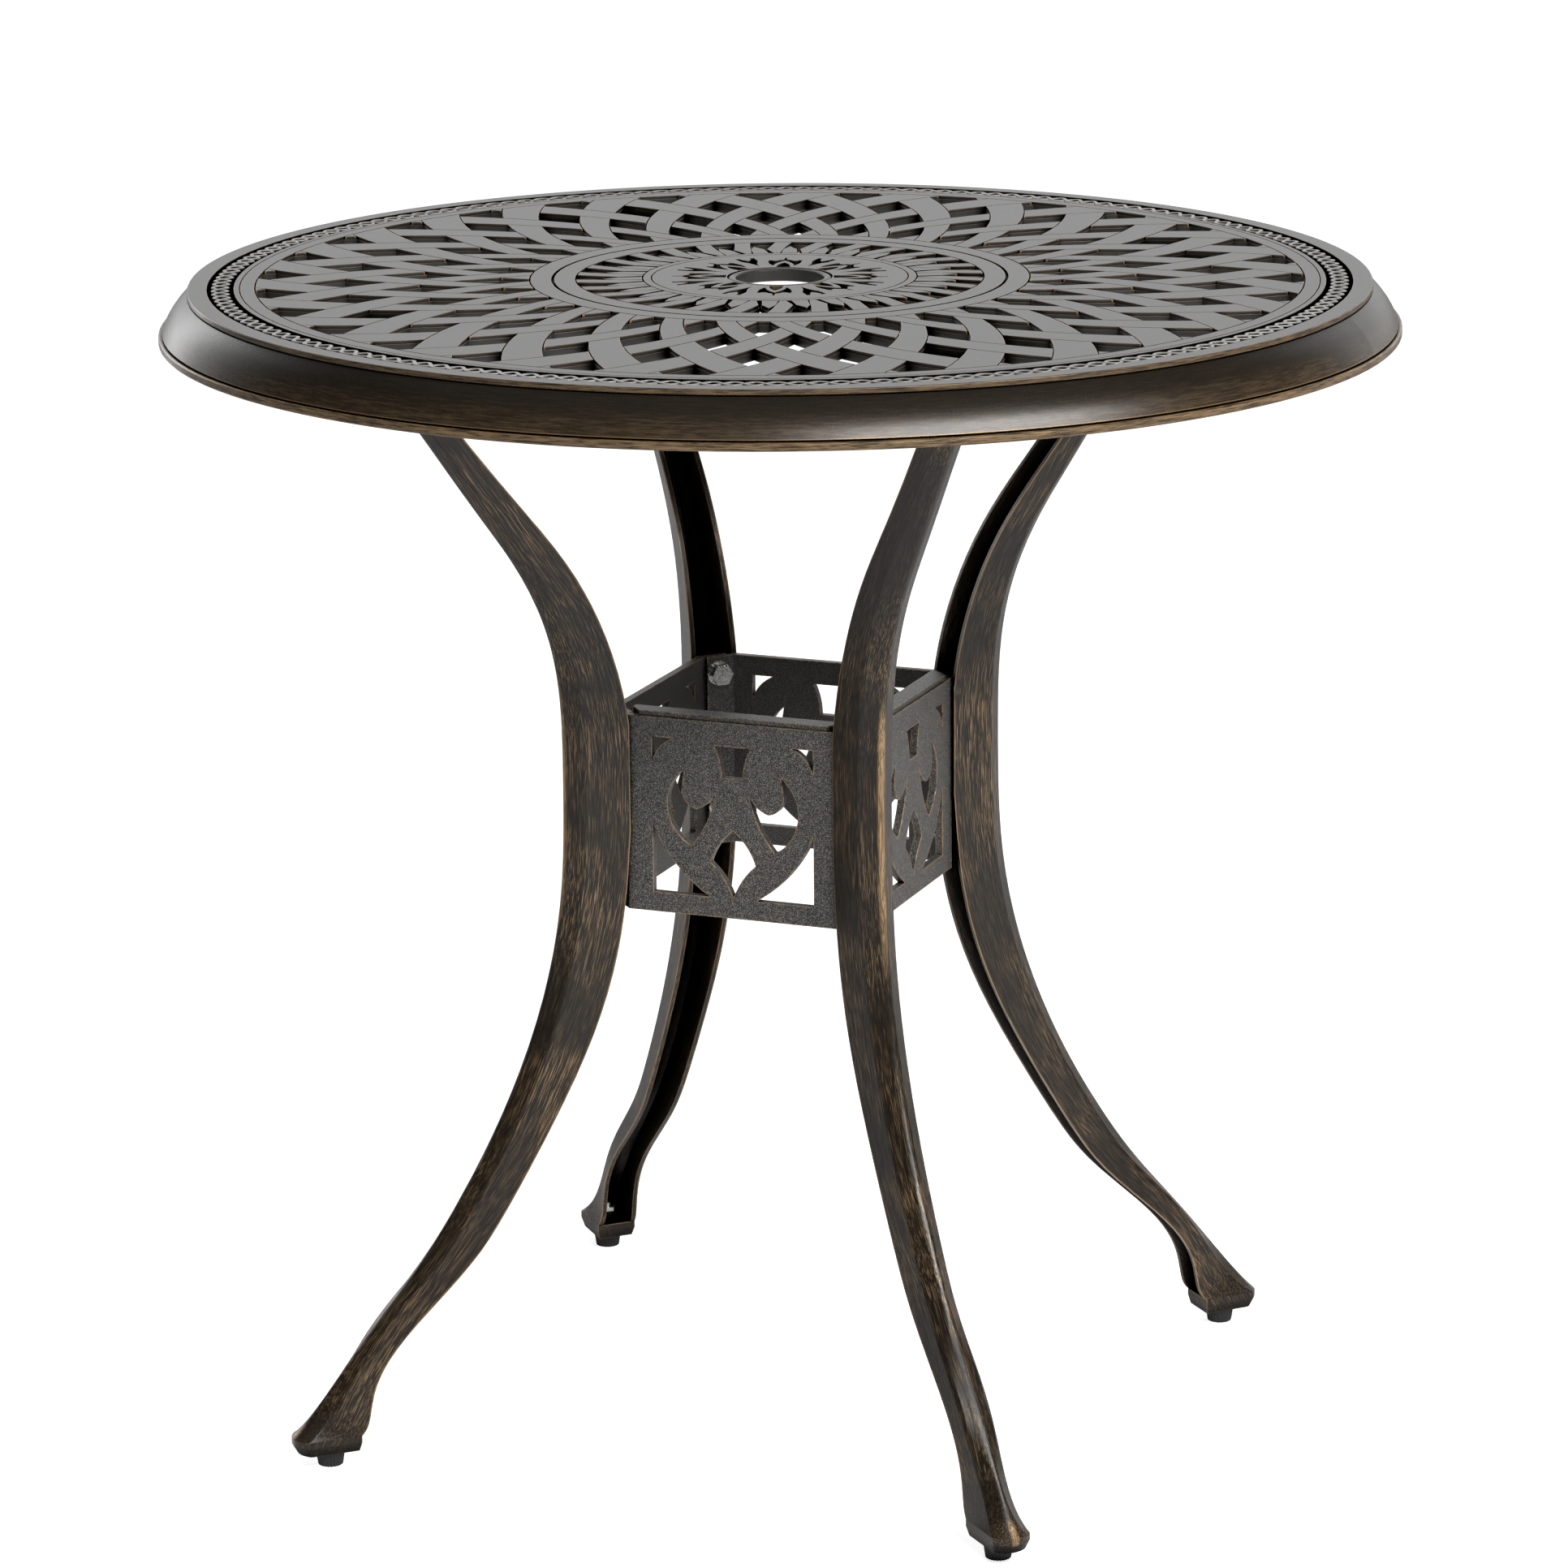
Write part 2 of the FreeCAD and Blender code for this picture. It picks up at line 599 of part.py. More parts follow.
def rounded_corner(before, corner, after, radius):
    """Start, middle and end of the arc that rounds a corner between two lines."""
    back = (before - corner).normalize()
    onwards = (after - corner).normalize()
    half_angle = back.getAngle(onwards) / 2
    inwards = (back + onwards).normalize()
    reach = radius / math.tan(half_angle)
    nearest = radius / math.sin(half_angle) - radius
    return corner + back * reach, corner + inwards * nearest, corner + onwards * reach


def house_edges(depth, half_width, wall, nose):
    """Outline of a limb with two sides, two roofs and a rounded ridge that passes the origin,
    as lines and arcs in the XY plane. With a wall it is a channel open at its back."""
    shoulder_width, shoulder_depth, ridge_half_width = nose
    shoulder = -shoulder_depth * depth
    side = shoulder_width * half_width
    roof_angle = math.atan2(side - ridge_half_width, -shoulder)
    apex = ridge_half_width / math.tan(roof_angle)
    ridge_radius = apex / (1 / math.sin(roof_angle) - 1)
    left_back = Vector(-depth, -half_width, 0)
    left_shoulder = Vector(shoulder, -side, 0)
    apex_point = Vector(apex, 0, 0)
    right_shoulder = Vector(shoulder, side, 0)
    right_back = Vector(-depth, half_width, 0)
    arcs = [rounded_corner(left_back, left_shoulder, apex_point, LEG_SHOULDER_RADIUS),
            rounded_corner(left_shoulder, apex_point, right_shoulder, ridge_radius),
            rounded_corner(apex_point, right_shoulder, right_back, LEG_SHOULDER_RADIUS)]
    edges = []
    here = left_back
    for start, middle, end in arcs:
        edges += [Part.makeLine(here, start), arc(start, middle, end)]
        here = end
    edges.append(Part.makeLine(here, right_back))
    inner = []
    if wall > 0:
        inner = [Vector(-depth, half_width - wall, 0), Vector(shoulder - wall / 2, side - wall, 0),
                 Vector(-wall - ridge_half_width / 2, ridge_half_width / 2, 0)]
        inner += [Vector(point.x, -point.y, 0) for point in reversed(inner)]
    points = [right_back] + inner + [left_back]
    return edges + [Part.makeLine(first, second) for first, second in zip(points, points[1:])]


def house_section(ridge_radius, height, lean, depth, half_width, wall, nose=LEG_NOSE):
    """Section wire across a limb whose ridge passes a point of the XZ plane."""
    section = Part.Wire(house_edges(depth, half_width, wall, nose))
    section.rotate(CENTRE, Vector(0, 1, 0), math.degrees(lean))
    section.translate(Vector(ridge_radius, 0, height))
    return section


def upper_sections():
    rise = FLANGE_TOP - WAIST_TOP
    reach = LEG_TOP_RADIUS - WAIST_RIDGE_RADIUS
    sections = []
    for step in range(LEG_STATIONS, -1, -1):
        share = step / LEG_STATIONS
        across, lean = bowed(share * rise, rise, reach, UPPER_BEND_SHARE)
        slimmed = math.sin(math.pi / 2 * share)
        depth = LEG_DEPTH_WAIST + slimmed * (LEG_DEPTH_TOP - LEG_DEPTH_WAIST)
        half = LEG_HALF_WIDTH_WAIST + slimmed * (LEG_HALF_WIDTH_TOP - LEG_HALF_WIDTH_WAIST)
        sections.append(house_section(WAIST_RIDGE_RADIUS + across, WAIST_TOP + share * rise, lean,
                                      depth, half, LEG_WALL))
    return sections


def lower_ridge(height):
    """Radius and lean of the ridge below the waist, where it bends outwards in a parabola."""
    drop = WAIST_BOTTOM - height
    return WAIST_RIDGE_RADIUS + drop * drop / (2 * LOWER_BEND_RADIUS), math.atan(drop / LOWER_BEND_RADIUS)


def lower_sections():
    """Sections down to the ankle, then the two that flare it out to the top of the foot."""
    ankle = FOOT_TOP + ANKLE_HEIGHT
    sections = []
    for step in range(LEG_STATIONS):
        share = step / (LEG_STATIONS - 1)
        height = WAIST_BOTTOM + share * (ankle - WAIST_BOTTOM)
        radius, lean = lower_ridge(height)
        slimmed = share * share * (3 - 2 * share)
        depth = LEG_DEPTH_WAIST + slimmed * (LEG_DEPTH_ANKLE - LEG_DEPTH_WAIST)
        half = LEG_HALF_WIDTH_WAIST + slimmed * (LEG_HALF_WIDTH_FOOT - LEG_HALF_WIDTH_WAIST)
        sections.append(house_section(radius, height, -lean, depth, half, LEG_WALL))
    sections.append(house_section(FLARE_RADIUS, FOOT_TOP + FLARE_HEIGHT, -math.radians(FLARE_LEAN),
                                  LEG_DEPTH_FLARE, LEG_HALF_WIDTH_FOOT, LEG_WALL))
    sections.append(house_section(FOOT_RIDGE_RADIUS, FOOT_TOP, 0.0, FOOT_LENGTH, FOOT_WIDTH / 2,
                                  LEG_WALL, FOOT_NOSE))
    return sections


def foot_block():
    """Solid foot with its edges drawn in towards the floor."""
    ridge = FOOT_RIDGE_RADIUS
    half_width = FOOT_WIDTH / 2
    edge_height = FOOT_TOP - FOOT_HEIGHT * FOOT_EDGE_SHARE
    bottom_length = FOOT_LENGTH - FOOT_CHAMFER - FOOT_BACK_CHAMFER
    top = house_section(ridge, FOOT_TOP, 0.0, FOOT_LENGTH, half_width, 0, FOOT_NOSE)
    rim_outline = house_section(ridge, edge_height, 0.0, FOOT_LENGTH, half_width, 0, FOOT_NOSE)
    bottom = house_section(ridge - FOOT_CHAMFER, FOOT_BOTTOM, 0.0, bottom_length,
                           half_width - FOOT_SIDE_CHAMFER, 0, FOOT_NOSE)
    upper = Part.makeLoft([top, rim_outline], True, True)
    lower = Part.makeLoft([rim_outline, bottom], True, True)
    boss = Part.makeCylinder(FOOT_BOSS_DIAMETER / 2, INSERT_LENGTH, Vector(FOOT_RADIUS, 0, FOOT_BOTTOM))
    return upper.multiFuse([lower, boss])


def leg_flange():
    flange = block(LEG_FLANGE_LENGTH, LEG_FLANGE_WIDTH, FLANGE_BOTTOM, FLANGE_TOP, LEG_FLANGE_CORNER)
    flange.translate(Vector(FLANGE_RADIUS, 0, 0))
    radius = BOLT_DIAMETER / 2 + BOLT_HOLE_CLEARANCE
    holes = [Part.makeCylinder(radius, LEG_FLANGE_THICKNESS, place + Vector(0, 0, FLANGE_BOTTOM))
             for place in top_bolt_places()]
    return flange.cut(Part.makeCompound(holes))


def along_x(radius, start, end, height):
    return Part.makeCylinder(radius, end - start, Vector(start, 0, height), Vector(1, 0, 0))


def leg():
    """One leg, standing in the local XZ plane."""
    channel = Part.makeLoft(upper_sections() + lower_sections(), True, False)
    above = Part.makeBox(TOP_RADIUS, TOP_RADIUS, TABLE_HEIGHT,
                         Vector(0, -TOP_RADIUS / 2, FLANGE_TOP - LEG_FLANGE_THICKNESS / 2))
    behind = Part.makeBox(LEG_BACK_RADIUS, TOP_RADIUS, 2 * PANEL_HEIGHT,
                          Vector(0, -TOP_RADIUS / 2, BOX_BOTTOM - PANEL_HEIGHT / 2))
    channel = channel.cut(Part.makeCompound([above, behind]))
    bosses = [along_x(LEG_BOSS_DIAMETER / 2, LEG_BACK_RADIUS, LEG_BACK_RADIUS + LEG_BOSS_LENGTH, height)
              for height in BRACE_BOLT_HEIGHTS]
    cast = channel.multiFuse([leg_flange(), foot_block()] + bosses)
    tapped = BOLT_DIAMETER / 2 + RUNNING_CLEARANCE
    depth = BRACE_THREAD_DEPTH + TAPPED_HOLE_SPARE
    holes = [along_x(tapped, LEG_BACK_RADIUS, LEG_BACK_RADIUS + depth, height)
             for height in BRACE_BOLT_HEIGHTS]
    insert_hole = Part.makeCylinder(INSERT_DIAMETER / 2 + RUNNING_CLEARANCE, INSERT_LENGTH,
                                    Vector(FOOT_RADIUS, 0, FOOT_BOTTOM))
    nut_pocket = Part.makeCylinder(LOCK_NUT_FLATS / math.sqrt(3) + NUT_POCKET_CLEARANCE,
                                   STUD_TOP + NUT_POCKET_CLEARANCE - INSERT_TOP,
                                   Vector(FOOT_RADIUS, 0, INSERT_TOP))
    return cast.cut(Part.makeCompound(holes + [insert_hole, nut_pocket])).Solids[0]


# Brace box

def panel_plan():
    """Plan of the front panel: a plate with an outer corner flange at its left end and an inner
    one, which goes behind its neighbour's, at its right end."""
    face = -PANEL_FACE_DISTANCE
    inside = face + PANEL_THICKNESS
    length = PANEL_CORNER_HALF + PANEL_FLANGE_OVERLAP
    inwards_left = Vector(1, 1, 0).normalize()
    along_left = Vector(-1, 1, 0).normalize()
    inwards_right = Vector(-1, 1, 0).normalize()
    along_right = Vector(1, 1, 0).normalize()
    left = Vector(-PANEL_HALF_WIDTH, face, 0)
    left_tip = left + along_left * length
    left_inner_tip = left_tip + inwards_left * PANEL_FLANGE_THICKNESS
    left_root = left_inner_tip - along_left * ((left_inner_tip.y - inside) * math.sqrt(2))
    right = Vector(PANEL_HALF_WIDTH, face, 0)
    right_step = right + inwards_right * PANEL_FLANGE_THICKNESS
    right_tip = right_step + along_right * length
    right_inner_tip = right_tip + inwards_right * PANEL_FLANGE_THICKNESS
    right_root = right_inner_tip - along_right * ((right_inner_tip.y - inside) * math.sqrt(2))
    return polygon([left, right, right_step, right_tip, right_inner_tip, right_root,
                    left_root, left_inner_tip, left_tip])


def panel_outlines():
    """Openings of the pierced panel, as points (x, height above the panel's middle)."""
    half = PANEL_HALF_WIDTH - PANEL_SIDE_BORDER
    tall = PANEL_HEIGHT / 2 - PANEL_BORDER

    def at(across, up):
        return Vector(across * half, 0, up * tall)

    top_corner = [Part.makeLine(at(-1, 0.69), at(-1, 1)), Part.makeLine(at(-1, 1), at(-0.73, 1)),
                  arc(at(-0.73, 1), at(-0.90, 0.88), at(-1, 0.69))]
    trapezoid = [Part.makeLine(at(-0.22, 0.95), at(0.22, 0.95)),
                 arc(at(0.22, 0.95), at(0.15, 0.74), at(0.13, 0.55)),
                 Part.makeLine(at(0.13, 0.55), at(-0.13, 0.55)),
                 arc(at(-0.13, 0.55), at(-0.15, 0.74), at(-0.22, 0.95))]
    scroll = [arc(at(-0.60, 0.61), at(-0.80, 0.27), at(-0.52, -0.36)),
              arc(at(-0.52, -0.36), at(-0.34, -0.07), at(-0.21, 0.34)),
              arc(at(-0.21, 0.34), at(-0.33, 0.18), at(-0.44, 0.12)),
              arc(at(-0.44, 0.12), at(-0.59, 0.21), at(-0.63, 0.40)),
              Part.makeLine(at(-0.63, 0.40), at(-0.60, 0.61))]
    kite = [arc(at(0, -0.12), at(-0.17, -0.31), at(-0.28, -0.55)),
            arc(at(-0.28, -0.55), at(-0.12, -0.74), at(0, -0.99)),
            arc(at(0, -0.99), at(0.12, -0.74), at(0.28, -0.55)),
            arc(at(0.28, -0.55), at(0.17, -0.31), at(0, -0.12))]
    bottom_corner = [Part.makeLine(at(-1, -0.11), at(-1, -1)), Part.makeLine(at(-1, -1), at(-0.29, -1)),
                     arc(at(-0.29, -1), at(-0.66, -0.68), at(-1, -0.11))]
    one_side = [Part.Wire(edges) for edges in (top_corner, scroll, bottom_corner)]
    other_side = [wire.mirror(CENTRE, Vector(1, 0, 0)) for wire in one_side]
    return one_side + other_side + [Part.Wire(trapezoid), Part.Wire(kite)]


def panel_ledge():
    """Ledge behind the front panel's top edge, mitred clear of the corner flanges."""
    outer = PANEL_FACE_DISTANCE - PANEL_LEDGE_SETBACK
    inner = PANEL_FACE_DISTANCE - PANEL_LEDGE_DEPTH
    half = inner - PANEL_LEDGE_GAP
    mitre = math.sqrt(2) * (LEG_BACK_RADIUS - 2 * PANEL_FLANGE_THICKNESS - PANEL_LEDGE_MITRE_GAP)
    plan = [(mitre - outer, -outer), (half, half - mitre), (half, -inner)]
    plan += [(-across, up) for across, up in reversed(plan)]
    outline = polygon([Vector(across, up, BOX_TOP - PANEL_LEDGE_THICKNESS) for across, up in plan])
    return Part.Face(outline).extrude(Vector(0, 0, PANEL_LEDGE_THICKNESS))


def panel(ledged):
    """The front panel of the brace box, with or without the ledge along its top."""
    body = Part.Face(panel_plan()).extrude(Vector(0, 0, PANEL_HEIGHT))
    body.translate(Vector(0, 0, BOX_BOTTOM))
    if ledged:
        body = body.fuse(panel_ledge())
    openings = []
    for wire in panel_outlines():
        placed = wire.translated(Vector(0, -PANEL_FACE_DISTANCE - CUT_SPARE, (BOX_BOTTOM + PANEL_TOP) / 2))
        openings.append(Part.Face(placed).extrude(Vector(0, PANEL_THICKNESS + 2 * CUT_SPARE, 0)))
    hole_radius = BOLT_DIAMETER / 2 + BOLT_HOLE_CLEARANCE
    start = LEG_BACK_RADIUS - 2 * PANEL_FLANGE_THICKNESS - CUT_SPARE
    for height in BRACE_BOLT_HEIGHTS:
        hole = along_x(hole_radius, start, LEG_BACK_RADIUS + CUT_SPARE, height)
        openings += [turned(hole, -45), turned(hole, -135)]
    return body.cut(Part.makeCompound(openings)).Solids[0]


# Bolts and washers, standing on the local XY plane

def ring(outside, inside, height):
    return Part.makeCylinder(outside / 2, height).cut(Part.makeCylinder(inside / 2, height))


def bolt(length):
    """Hex bolt that stands on its head."""
    shank = Part.makeCylinder(BOLT_DIAMETER / 2, length + BOLT_HEAD_HEIGHT)
    return hexagon(BOLT_HEAD_FLATS, BOLT_HEAD_HEIGHT).fuse(shank)


def spring_washer():
    whole = ring(SPRING_WASHER_DIAMETER, BOLT_DIAMETER + 2 * WASHER_CLEARANCE, SPRING_WASHER_THICKNESS)
    slit = Part.makeBox(SPRING_WASHER_DIAMETER, SPRING_WASHER_SLIT, SPRING_WASHER_THICKNESS,
                        Vector(0, -SPRING_WASHER_SLIT / 2, 0))
    return whole.cut(slit)


def flat_washer():
    return ring(FLAT_WASHER_DIAMETER, BOLT_DIAMETER + 2 * WASHER_CLEARANCE, FLAT_WASHER_THICKNESS)


def bolt_stack(clamped, thread):
    """Bolt, spring washer and flat washer, on an axis whose zero is the face under the washers."""
    washers = SPRING_WASHER_THICKNESS + FLAT_WASHER_THICKNESS
    under = Vector(0, 0, -washers)
    return {
        "bolts": bolt(washers + clamped + thread).translated(under - Vector(0, 0, BOLT_HEAD_HEIGHT)),
        "spring_washers": spring_washer().translated(under),
        "flat_washers": flat_washer().translated(Vector(0, 0, -FLAT_WASHER_THICKNESS)),
    }


def brace_fasteners():
    """Groups of fasteners that run outwards through both corner flanges into the legs."""
    flanges = 2 * PANEL_FLANGE_THICKNESS
    groups = {}
    for kind, piece in bolt_stack(flanges, BRACE_THREAD_DEPTH).items():
        piece.rotate(CENTRE, Vector(0, 1, 0), 90)
        placed = [turned(piece.translated(Vector(LEG_BACK_RADIUS - flanges, 0, height)), angle)
                  for angle in leg_angles() for height in BRACE_BOLT_HEIGHTS]
        groups["brace_" + kind] = Part.makeCompound(placed)
    return groups


def top_fasteners():
    """Groups of fasteners that run up through the leg flanges into the tabletop."""
    groups = {}
    for kind, piece in bolt_stack(LEG_FLANGE_THICKNESS, TOP_THREAD_DEPTH).items():
        placed = [turned(piece.translated(place + Vector(0, 0, FLANGE_BOTTOM)), angle)
                  for angle in leg_angles() for place in top_bolt_places()]
        groups["top_" + kind] = Part.makeCompound(placed)
    return groups


# Levelling glides, on the local foot's axis

def foot_insert():
    insert = ring(INSERT_DIAMETER, STUD_DIAMETER + 2 * RUNNING_CLEARANCE, INSERT_LENGTH)
    return insert.translated(Vector(FOOT_RADIUS, 0, FOOT_BOTTOM))


def lock_nut():
    bore = Part.makeCylinder(STUD_DIAMETER / 2 + RUNNING_CLEARANCE, LOCK_NUT_HEIGHT)
    nut = hexagon(LOCK_NUT_FLATS, LOCK_NUT_HEIGHT).cut(bore)
    return nut.translated(Vector(FOOT_RADIUS, 0, INSERT_TOP))


def leveller_stud():
    bottom = GLIDE_FLOOR + GLIDE_GAP
    return Part.makeCylinder(STUD_DIAMETER / 2, STUD_TOP - bottom, Vector(FOOT_RADIUS, 0, bottom))


def ribbed_outline(diameter, height):
    points = []
    for rib in range(2 * GLIDE_RIBS):
        radius = diameter / 2 - (rib % 2) * GLIDE_RIB_DEPTH
        points.append(polar(radius, rib * 180.0 / GLIDE_RIBS, height))
    return polygon(points)


def glide_pad():
    """Ribbed pad that narrows towards the floor, bored for the stud."""
    body = Part.makeLoft([ribbed_outline(GLIDE_FOOT_DIAMETER, 0.0),
                          ribbed_outline(GLIDE_DIAMETER, GLIDE_HEIGHT)], True, True)
    bore = Part.makeCylinder(STUD_DIAMETER / 2 + RUNNING_CLEARANCE, GLIDE_HEIGHT, Vector(0, 0, GLIDE_FLOOR))
    return body.cut(bore).translated(Vector(FOOT_RADIUS, 0, 0))


def table():
    """Every piece of the table by name."""
    pieces = {"tabletop": tabletop()}
    one_leg = leg()
    stud = leveller_stud()
    pad = glide_pad()
    for name, angle in zip(LEG_NAMES, leg_angles()):
        pieces["leg_" + name] = turned(one_leg, angle)
        pieces["leveller_stud_" + name] = turned(stud, angle)
        pieces["glide_pad_" + name] = turned(pad, angle)
    plain_panel = panel(False)
    ledged_panel = panel(True)
    for index, name in enumerate(PANEL_NAMES):
        one_panel = ledged_panel if name in LEDGED_PANELS else plain_panel
        pieces["brace_panel_" + name] = turned(one_panel, 90 * index)
    pieces.update(brace_fasteners())
    pieces.update(top_fasteners())
    pieces["foot_inserts"] = Part.makeCompound([turned(foot_insert(), angle) for angle in leg_angles()])
    pieces["foot_lock_nuts"] = Part.makeCompound([turned(lock_nut(), angle) for angle in leg_angles()])
    return pieces


os.makedirs("parts", exist_ok=True)
for node, shape in table().items():
    shape.exportStep("parts/" + node + ".step")
    print(node, len(shape.Solids), round(shape.Volume), shape.isValid())
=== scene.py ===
"""Looks of a round cast patio table: antique bronze castings, zinc fasteners and black glides.

Metres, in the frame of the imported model: +Z up, origin on the floor under the table's middle.
A grain is a number of specks per metre. A pair of limits says where a look starts and where it is
full, and a pair of levels says how strong it is there."""
import bpy
import math
from mathutils import Matrix, Vector


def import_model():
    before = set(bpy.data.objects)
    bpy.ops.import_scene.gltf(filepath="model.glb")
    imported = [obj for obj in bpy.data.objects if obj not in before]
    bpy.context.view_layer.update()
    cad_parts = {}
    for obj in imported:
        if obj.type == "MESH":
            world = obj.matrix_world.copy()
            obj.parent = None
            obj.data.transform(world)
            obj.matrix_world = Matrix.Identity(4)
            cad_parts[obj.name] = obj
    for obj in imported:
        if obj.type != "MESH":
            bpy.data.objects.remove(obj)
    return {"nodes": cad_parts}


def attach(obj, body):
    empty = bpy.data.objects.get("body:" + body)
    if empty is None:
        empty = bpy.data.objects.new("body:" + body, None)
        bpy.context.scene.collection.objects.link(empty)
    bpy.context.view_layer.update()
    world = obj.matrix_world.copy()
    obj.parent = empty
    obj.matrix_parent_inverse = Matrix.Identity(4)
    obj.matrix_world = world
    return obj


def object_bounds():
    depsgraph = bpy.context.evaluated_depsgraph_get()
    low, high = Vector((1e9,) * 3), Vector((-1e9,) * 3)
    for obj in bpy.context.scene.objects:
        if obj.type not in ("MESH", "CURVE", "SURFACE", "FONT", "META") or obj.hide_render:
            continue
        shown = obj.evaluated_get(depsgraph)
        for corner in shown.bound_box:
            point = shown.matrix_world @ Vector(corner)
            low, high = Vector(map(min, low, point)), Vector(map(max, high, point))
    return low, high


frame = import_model()
nodes = frame["nodes"]
cad_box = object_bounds()

TABLE_HEIGHT = cad_box[1].z
LEG_NAMES = ("rear_right", "rear_left", "front_left", "front_right")
PANEL_NAMES = ("front", "right", "rear", "left")

# Camera, as found from the circles of the top and the four feet
CAMERA_AZIMUTH = math.radians(21.53)
CAMERA_DISTANCE = 3.7076
CAMERA_HEIGHT = 1.3933
CAMERA_AIM_HEIGHT = 0.4131
CAMERA_ROLL = math.radians(-0.47)
CAMERA_LENS_MM = 136.95
CAMERA_SENSOR_MM = 36.0
CAMERA_REACH = 50.0

# Light of the surroundings, with limits by the cosine to the camera's side and to straight up
BACKDROP_LIMITS = (-0.8, -0.45)
BACKDROP_LIGHT = 1.4
FRONT_LIGHT = 0.05
OVERHEAD_LIMITS = (0.62, 0.86)
OVERHEAD_LIGHT = 0.25
CAMERA_WHITE = 1.0

# Floor
FLOOR_HALF_SIZE = 30.0
FLOOR_ROUGHNESS = 0.9
FLOOR_GLOW = 0.78

# Braid: two strands that twist about each other in the rim's channel
BRAID_INNER = 0.3422
BRAID_OUTER = 0.3591
BRAID_FLOOR_DEPTH = 0.0015
BRAID_TURNS = 90
STRAND_SWING = 0.0046
STRAND_LIFT = 0.0002
STRAND_HALF_WIDTH = 0.0013
STRAND_HALF_HEIGHT = 0.00055
STRAND_STEPS_PER_TURN = 20
STRAND_SIDES = 8

# Colours
COAT = (0.009, 0.0068, 0.0045, 1.0)
COAT_BROWN = (0.022, 0.015, 0.009, 1.0)
# grey of the top's face: the bronze coat lightened as painted sheen
FACE_COAT_PAINTED_SHEEN = (0.020, 0.0195, 0.018, 1.0)
GOLD = (0.58, 0.38, 0.20, 1.0)
BLACK = (0.0, 0.0, 0.0, 1.0)
WHITE = (1.0, 1.0, 1.0, 1.0)
FLOOR_GREY = (0.93, 0.93, 0.93, 1.0)
BRAID_PAINTED_SHEEN_COLOURS = ((0.22, 0.215, 0.20, 1.0), (0.42, 0.41, 0.38, 1.0))
PANEL_COLOURS = ((0.012, 0.0115, 0.011, 1.0), (0.30, 0.28, 0.25, 1.0))
ZINC_COLOURS = ((0.55, 0.55, 0.53, 1.0), (0.80, 0.79, 0.75, 1.0))
NYLON_COLOURS = ((0.010, 0.010, 0.010, 1.0), (0.024, 0.023, 0.022, 1.0))

# Shared by the surfaces
EDGE_RADIUS = 0.0006
EDGE_SAMPLES = 4
OPENNESS_SAMPLES = 6
NOISE_ROUGHNESS = 0.55

# Braid, zinc and nylon: one grain from its dark specks to its pale ones
GRAIN_LIMITS = (0.3, 0.7)

# Sockets of the node that mixes, which go by number because numbers and colours share their names
MIX_SHARE = 0
MIX_NUMBERS = (2, 3)
MIX_COLOURS = (6, 7)
MIX_NUMBER_RESULT = 0
MIX_COLOUR_RESULT = 2

# Coat of the legs and the top
COAT_RELIEF = 0.00010
COAT_BUMP = 0.5
COAT_LINE_RELIEF = 0.5
COAT_GRAIN_ROUGHNESS = 0.16
GOLD_METALLIC = 0.8

# Legs: a worn line along the ridge, brushed patches on the faces, and worn edges
RIDGE_CURVE_LOWEST = 0.02
RIDGE_CURVE_HIGHEST = 0.71
RIDGE_CURVE_BAND = 0.02
RIDGE_CURVE_STEPS = 12
RIDGE_ACROSS_LIMITS = (0.0034, 0.0012)
RIDGE_DEPTH_LIMITS = (-0.005, -0.002)
RIDGE_LINE_LIMITS = (0.40, 0.60)
RIDGE_LEVELS = (0.15, 0.85)
LEG_STRETCH = 34.0
LEG_FINE_GRAIN = 3200.0
LEG_COARSE_GRAIN = 1450.0
LEG_FINE_SHARE = 0.6
LEG_COAT_GRAIN = 3000.0
LEG_BROWN_LIMITS = (0.42, 0.60)
LEG_BROWN_LEVELS = (0.0, 0.7)
LEG_BRUSHED_LIMITS = (0.50, 0.64)
LEG_PATCH_GRAIN = 16.0
LEG_PATCH_LIMITS = (0.38, 0.66)
LEG_PATCH_LEVELS = (0.08, 0.52)
LEG_EDGE_REACH = 0.0016
LEG_EDGE_LIMITS = (0.24, 0.55)
LEG_EDGE_LINE_LIMITS = (0.30, 0.50)
LEG_EDGE_LEVELS = (0.35, 0.9)
LEG_SHADE_REACH = 0.03
LEG_SHADE_LIMITS = (0.45, 0.85)
LEG_ROUGHNESS = 0.22
LEG_GLOSS = 0.42

# Top: painted sheen greys the face, painted glints in its corners, a painted highlight low on the smooth
# flank, and gold on both lips of the rim
LIP_RADIUS = 0.3714
LOWER_LIP_RADIUS = 0.3882
FLANK_LIMITS = (LIP_RADIUS - 0.0009, LIP_RADIUS - 0.0003)
FLANK_PAINTED_GLOW_DEPTHS = (0.010, 0.024)
FLANK_BRUSHED_AND_PAINTED_GLOW_LEVELS = (0.02, 0.14)
FLANK_LINE_LIMITS = (0.40, 0.70)
FLANK_LINE_LEVELS = (0.2, 1.0)
LIP_DEPTH_LIMITS = (0.0036, 0.0030)
LIP_DEPTH_LEVELS = (0.0, 0.7)
LOWER_LIP_LIMITS = (LOWER_LIP_RADIUS - 0.0004, LOWER_LIP_RADIUS + 0.0002)
LIP_LINE_LIMITS = (0.38, 0.62)
LIP_LINE_LEVELS = (0.04, 0.45)
CHANNEL_TOP_LIMITS = (BRAID_FLOOR_DEPTH - 0.0004, BRAID_FLOOR_DEPTH - 0.0002)
CHANNEL_BOTTOM_LIMITS = (BRAID_FLOOR_DEPTH + 0.0005, BRAID_FLOOR_DEPTH + 0.0003)
CHANNEL_INNER_LIMITS = (BRAID_INNER - 0.0004, BRAID_INNER)
CHANNEL_OUTER_LIMITS = (BRAID_OUTER + 0.0004, BRAID_OUTER)
TOP_STRETCH = 16.0
TOP_LINE_RADIUS = 0.36
TOP_FINE_GRAIN = 1900.0
TOP_COARSE_GRAIN = 600.0
TOP_FINE_SHARE = 0.65
